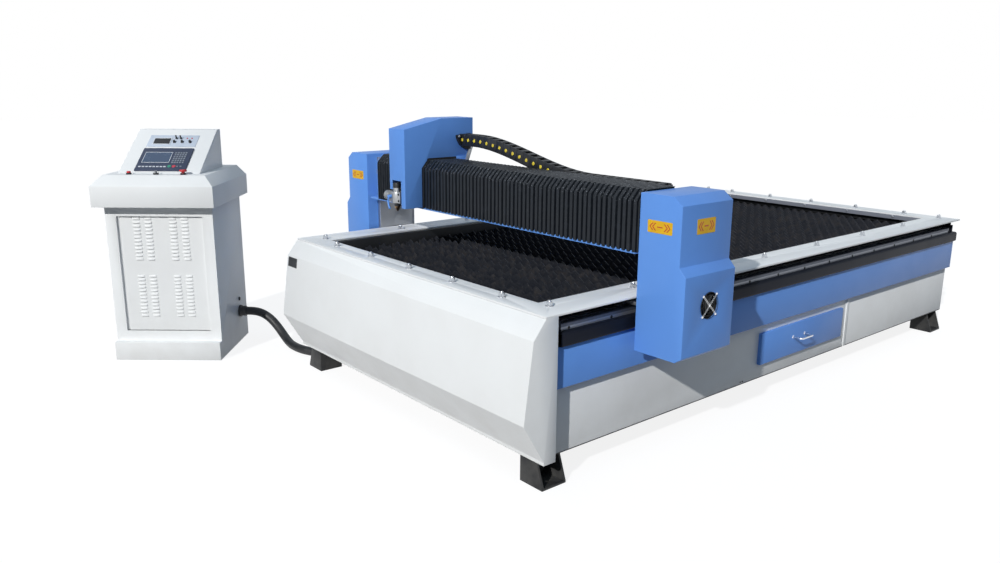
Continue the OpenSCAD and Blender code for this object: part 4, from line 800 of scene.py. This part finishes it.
# --- Carriage -----------------------------------------------------------------------------
# A saddle cover folded from blue sheet over an aluminium plate, which holds the motors and runs
# on the beam's two rails. A black bracket and a grey strut at its right carry the chain's end.
aluminium = finish("aluminium", "aluminium", machined((0.70, 0.71, 0.72), 0.32))
softened("carriage_cover", "sheet", "carriage", blue_coat, 0.003, 3, 12)
skirt_y, skirt_z = (-1.1015, -1.018), (1.1480, 1.1790)
bm = bmesh.new()
for x in ((-0.468, -0.465), (-0.612, -0.609)):
    slab(bm, x, skirt_y, skirt_z, edge=0.0008)
piece("carriage_cover.skirts", bm, "carriage", blue_coat)
bracket_line = [(-1.104, 1.290), (-1.018, 1.298), (-1.018, 1.214), (-1.040, 1.213),
                (-1.062, 1.222), (-1.080, 1.236), (-1.094, 1.256), (-1.102, 1.274)]
bracket_from, bracket_to = -0.468, -0.446
bm = bmesh.new()
outline(bm, bracket_line, bracket_from, bracket_to, across)
piece("chain_bracket.plate", bm, "carriage", black_coat)
strut_x, strut_y, strut_z = (-0.468, -0.462), (-0.012, 0.012), (-0.044, 0.044)
strut_lean = atan2(-0.030, 0.075)
bm = bmesh.new()
slab(bm, strut_x, strut_y, strut_z, spot(0, -1.015, 1.192, strut_lean), 0.0012)
piece("chain_bracket.strut", bm, "carriage", grey_plate)
bm = bmesh.new()
turned(bm, domed(0.007, 0.003, 0.005, 0.0055, 0.006), 6,
       spot(bracket_to, -1.096, 1.284, quarter, "Y"))
piece("chain_bracket.bolt", bm, "carriage", zinc)
softened("carriage_plate", "plate", "carriage", aluminium, 0.001, 1)
softened("carriage_motors", "case", "carriage", black_coat, 0.002)
dress("carriage_pinion", bronze)
dress("lift_screw", bright_steel)

# --- Torch --------------------------------------------------------------------------------
# A machine torch in an aluminium clamp on the lift slide: brass nozzle, black shield and cap. The
# clamp has a ribbed grip on its left and a blue lever in front.
torch_metal = finish("torch_metal", "aluminium", machined((0.50, 0.51, 0.52), 0.28, grease_and_reflection=0.2))
softened("torch_slide", "block", "torch", aluminium, 0.001)
softened("torch_clamp", "block", "torch", torch_metal, 0.0015)
brass = finish("brass", "bronze", machined((0.62, 0.40, 0.22), 0.24))
torch_axis = spot(-0.562, -1.420, 0)
nozzle = [(0, 0.900), (0.0045, 0.900), (0.006, 0.9015), (0.0095, 0.910), (0.0125, 0.914),
          (0.0160, 0.926), (0, 0.926)]
shield = [(0, 0.926), (0.0165, 0.926), (0.0170, 0.928), (0.0170, 0.958), (0, 0.958)]
barrel = [(0, 0.958), (0.0195, 0.958), (0.0209, 0.960), (0.0209, 1.006), (0.0198, 1.0075),
          (0.0198, 1.0095), (0.0209, 1.011), (0.0209, 1.022), (0.0195, 1.024), (0, 1.024)]
cap = [(0, 1.024), (0.0210, 1.024), (0.0210, 1.042), (0.0195, 1.047), (0.0160, 1.050),
       (0.0085, 1.050), (0.0080, 1.0475), (0, 1.0475)]
for name, material, profile in (("nozzle", brass, nozzle), ("shield", black_nylon, shield),
                                ("barrel", torch_metal, barrel), ("cap", black_nylon, cap)):
    bm = bmesh.new()
    turned(bm, profile, 40, torch_axis)
    piece(f"torch.{name}", bm, "torch", material, ["torch"])
clamp_face = -1.437
clamp_screw = [(0, 0.0004), (0.0028, 0.0004), (0.0030, 0.0035), (0.0048, 0.0035),
               (0.0052, 0.0028), (0.0052, 0)]
bm = bmesh.new()
for z in (0.957, 0.991):
    turned(bm, clamp_screw, 16, spot(-0.5235, clamp_face, z, quarter))
piece("torch_clamp.socket_heads", bm, "torch", black_coat)
lever_y, lever_bar = -1.4478, 0.0056
lever_line = [(-0.604, 0.974), (-0.607, 0.962), (-0.609, 0.948), (-0.607, 0.934),
              (-0.602, 0.922), (-0.596, 0.913)]
lever_knob = [(0, -0.0068), (0.0040, -0.0055), (0.0066, -0.0020), (0.0066, 0.0020),
              (0.0040, 0.0055), (0, 0.0068)]
(hub_x, hub_z), (knob_x, knob_z) = lever_line[0], lever_line[-1]
bm = bmesh.new()
turned(bm, domed(0.0100, 0.0115, 0.0085, 0.0138, 0.0140), 28,
       spot(hub_x, clamp_face, hub_z, quarter))
tube(bm, spline([Vector((x, lever_y, z)) for x, z in lever_line], 4), lever_bar, 14)
turned(bm, lever_knob, 20, spot(knob_x, lever_y, knob_z, quarter))
piece("clamp_lever.handle", bm, "clamp_lever", blue_coat, ["clamp_lever"])

# --- Console ------------------------------------------------------------------------------
# A cabinet on a plinth with a desk and a sloping head, folded from sheet and sprayed white. The
# louvres are pressed into its front panel, and a hinged door closes the rear.
console = spot(-1.557223, -2.355872, 0, radians(50), "Z")
slope = console @ spot(0, 0.090, 1.060, atan2(222, 350))
softened("console_cabinet", "sheet", "bed", white_coat, 0.0012)
softened("console_desk", "sheet", "bed", white_coat, 0.0015)
softened("console_head", "sheet", "bed", white_coat, 0.0015)
dress("louvre_panel", white_coat)
panel_face = 0.0549
louvre_first, louvre_step, field_rows, field_gap = 0.251, 0.021, 12, 0.078
hood_ends = ((-0.0215, 0.0), (-0.019, 0.55), (-0.014, 1.0),
             (0.014, 1.0), (0.019, 0.55), (0.0215, 0.0))
hood_line = ((0.0, 0.0075), (0.0018, 0.0065), (0.0042, 0.0030), (0.0052, -0.0015),
             (0.0052, -0.0040), (0.0044, -0.0042), (0.0030, -0.0005), (0.0, 0.0030))
bm = bmesh.new()
for x in (-0.135, -0.069, 0.069, 0.135):
    for row in range(2 * field_rows):
        z = louvre_first + louvre_step * row + (field_gap if row >= field_rows else 0)
        skin(bm, [[bm.verts.new(console @ Vector((x + at, panel_face - d * swell, z + h)))
                   for d, h in hood_line] for at, swell in hood_ends], True)
piece("louvre_panel.hoods", bm, "bed", white_coat)
bead_line = [(-0.2395, 0.0500), (-0.2290, panel_face), (-0.2395, panel_face)]
bead_foot, bead_top = 0.166, 0.827
bm = bmesh.new()
outline(bm, bead_line, bead_foot, bead_top, console)
piece("louvre_panel.bead", bm, "bed", white_coat)
bm = bmesh.new()
turned(bm, domed(0.012, 0.003, 0.008, 0.008, 0.009), 24,
       console @ spot(0.300, 0.400, 0.262, quarter, "Y"))
piece("console_cabinet.button", bm, "bed", black_nylon)
softened("rear_door", "sheet", "rear_door", white_coat, 0.0010)

# --- Console panels -----------------------------------------------------------------------
# A foil-faced instrument panel above a dark moulded controller, both set flat on the sloping
# head. Pale frames stand round the displays, the panel's one pale as a painted highlight, and
# the controller has rows of moulded keys.
foil = finish("panel_foil", "panel_foil", moulded((0.56, 0.63, 0.74), (0.50, 0.57, 0.68), 0.4))
case = finish("controller_case", "controller_case",
              moulded((0.030, 0.043, 0.086), (0.040, 0.055, 0.102), 0.48))
glass = finish("screen_glass", "screen_glass",
               moulded((0.052, 0.086, 0.155), (0.060, 0.096, 0.168), 0.22))
softened("instrument_panel", "foil", "bed", foil, 0.0006)
softened("controller_panel", "case", "bed", case, 0.002)
softened("screens", "glass", "bed", glass, 0.0004, 1)
foil_face, case_face = 0.003, 0.008


def rim_of(bm, x, y, z, width, edge):
    """Adds a raised frame round a window on the slope."""
    wide = (x[0] - width, x[1] + width)
    for along, up in ((wide, (y[0] - width, y[0])), (wide, (y[1], y[1] + width)),
                      ((x[0] - width, x[0]), y), ((x[1], x[1] + width), y)):
        slab(bm, along, up, z, slope, edge, 1)


def key(bm, x, y, wide, deep, top):
    """Adds a key on the controller's face from its lower left corner."""
    slab(bm, (x, x + wide), (y, y + deep), (case_face, top), slope, 0.0008)


pale = finish("pale_plastic", "grey_plastic",
              moulded((0.66, 0.70, 0.76), (0.60, 0.64, 0.70), 0.36))
key_grey = finish("key_grey", "grey_plastic",
                  moulded((0.20, 0.23, 0.28), (0.25, 0.28, 0.33), 0.4))
key_green = finish("key_green", "grey_plastic",
                   moulded((0.03, 0.32, 0.20), (0.04, 0.27, 0.18), 0.36))
key_red = finish("key_red", "red_plastic",
                 moulded((0.55, 0.05, 0.08), (0.48, 0.05, 0.07), 0.36))
bm = bmesh.new()
# Painted highlight: the instrument display's frame is pale to stand for its bright top edge. The
# controller screen's frame and the eight keys are pale plastic.
rim_of(bm, (-0.1072, -0.0141), (0.2683, 0.3200), (foil_face, 0.0058), 0.0055, 0.0008)
rim_of(bm, (-0.1173, 0.0315), (0.0919, 0.1813), (case_face, 0.0096), 0.0030, 0.0005)
for i in range(8):
    key(bm, -0.1265 + 0.0200 * i, 0.0480, 0.0150, 0.0085, 0.0102)
piece("console_panels.frames", bm, "bed", pale)
bm = bmesh.new()
for col in range(5):
    for row in range(6):
        key(bm, 0.0480 + 0.0146 * col, 0.0850 + 0.0174 * row, 0.0110, 0.0115, 0.0100)
for x in (0.0855, 0.1045):
    key(bm, x, 0.0515, 0.0110, 0.0080, 0.0100)
piece("controller_panel.keys", bm, "bed", key_grey)
for name, x, material in (("start", 0.046, key_green), ("hold", 0.0715, key_red)):
    bm = bmesh.new()
    turned(bm, domed(0.0105, 0.0098, 0.0095, 0.0108, 0.0112, case_face), 28,
           slope @ spot(x, 0.056, 0))
    piece(f"controller_panel.key_{name}", bm, "bed", material)
bm = bmesh.new()
slab(bm, (-0.1070, -0.0143), (0.2685, 0.3198), (0.0032, 0.0052), slope, 0.0004, 1)
piece("instrument_panel.display", bm, "bed", black_foil)
bm = bmesh.new()
for x in (0.0765, 0.1045):
    turned(bm, domed(0.0045, 0.0045, 0.003, 0.0065, 0.0072, foil_face), 16,
           slope @ spot(x, 0.3225, 0))
piece("instrument_panel.lamps", bm, "bed", key_red)

# --- Controls -----------------------------------------------------------------------------
# Plastic desk switches in black collars: a red start button, a grey selector and a red stop.
# Three black knobs with pointers and two black toggles stand on the instrument panel.
red = finish("red_plastic", "red_plastic",
             moulded((0.62, 0.02, 0.03), (0.55, 0.03, 0.035), 0.28))
grey = finish("grey_plastic", "grey_plastic",
              moulded((0.35, 0.36, 0.38), (0.30, 0.31, 0.33), 0.4))
softened("switch_collars", "ring", "bed", black_nylon, 0.001)
softened("start_button", "cap", "start_button", red, 0.001)
softened("selector_switch", "lever", "selector_switch", grey, 0.001)
softened("emergency_stop", "cap", "emergency_stop", red, 0.002)
slope_long, foil_wide = 0.4145, 0.282
foil_low, foil_high = slope_long * 0.59, slope_long * 0.85
knob_y = foil_low + (foil_high - foil_low) * 0.38
toggle_y = foil_low + (foil_high - foil_low) * 0.69
knob_cap = [(0, 0), (0.009, 0), (0.009, 0.0022), (0.0072, 0.0040), (0.0066, 0.0118),
            (0.0054, 0.0132), (0, 0.0138)]
pointer_x, pointer_y, pointer_z = (-0.0012, 0.0012), (0.0010, 0.0088), (0.0030, 0.0136)
toggle_lever = [(0, 0.0006), (0.0018, 0.0008), (0.0060, 0.0030), (0.0066, 0.0042),
                (0.0062, 0.0064), (0.0046, 0.0085), (0.0036, 0.012), (0.0044, 0.021),
                (0.0034, 0.0236), (0, 0.0240)]
for i, share in enumerate((0.042, 0.2, 0.363), 1):
    place = slope @ spot(foil_wide * share, knob_y, 0.0033)
    bm = bmesh.new()
    turned(bm, knob_cap, 20, place)
    slab(bm, pointer_x, pointer_y, pointer_z, place, 0.0004, 1)
    piece(f"knob_{i}.cap", bm, f"knob_{i}", black_nylon, [f"knob_{i}"])
for i, share in enumerate((0.056, 0.147), 1):
    place = slope @ spot(foil_wide * share, toggle_y, foil_face)
    bm = bmesh.new()
    turned(bm, toggle_lever, 16, place)
    piece(f"toggle_{i}.lever", bm, f"toggle_{i}", black_nylon, [f"toggle_{i}"])
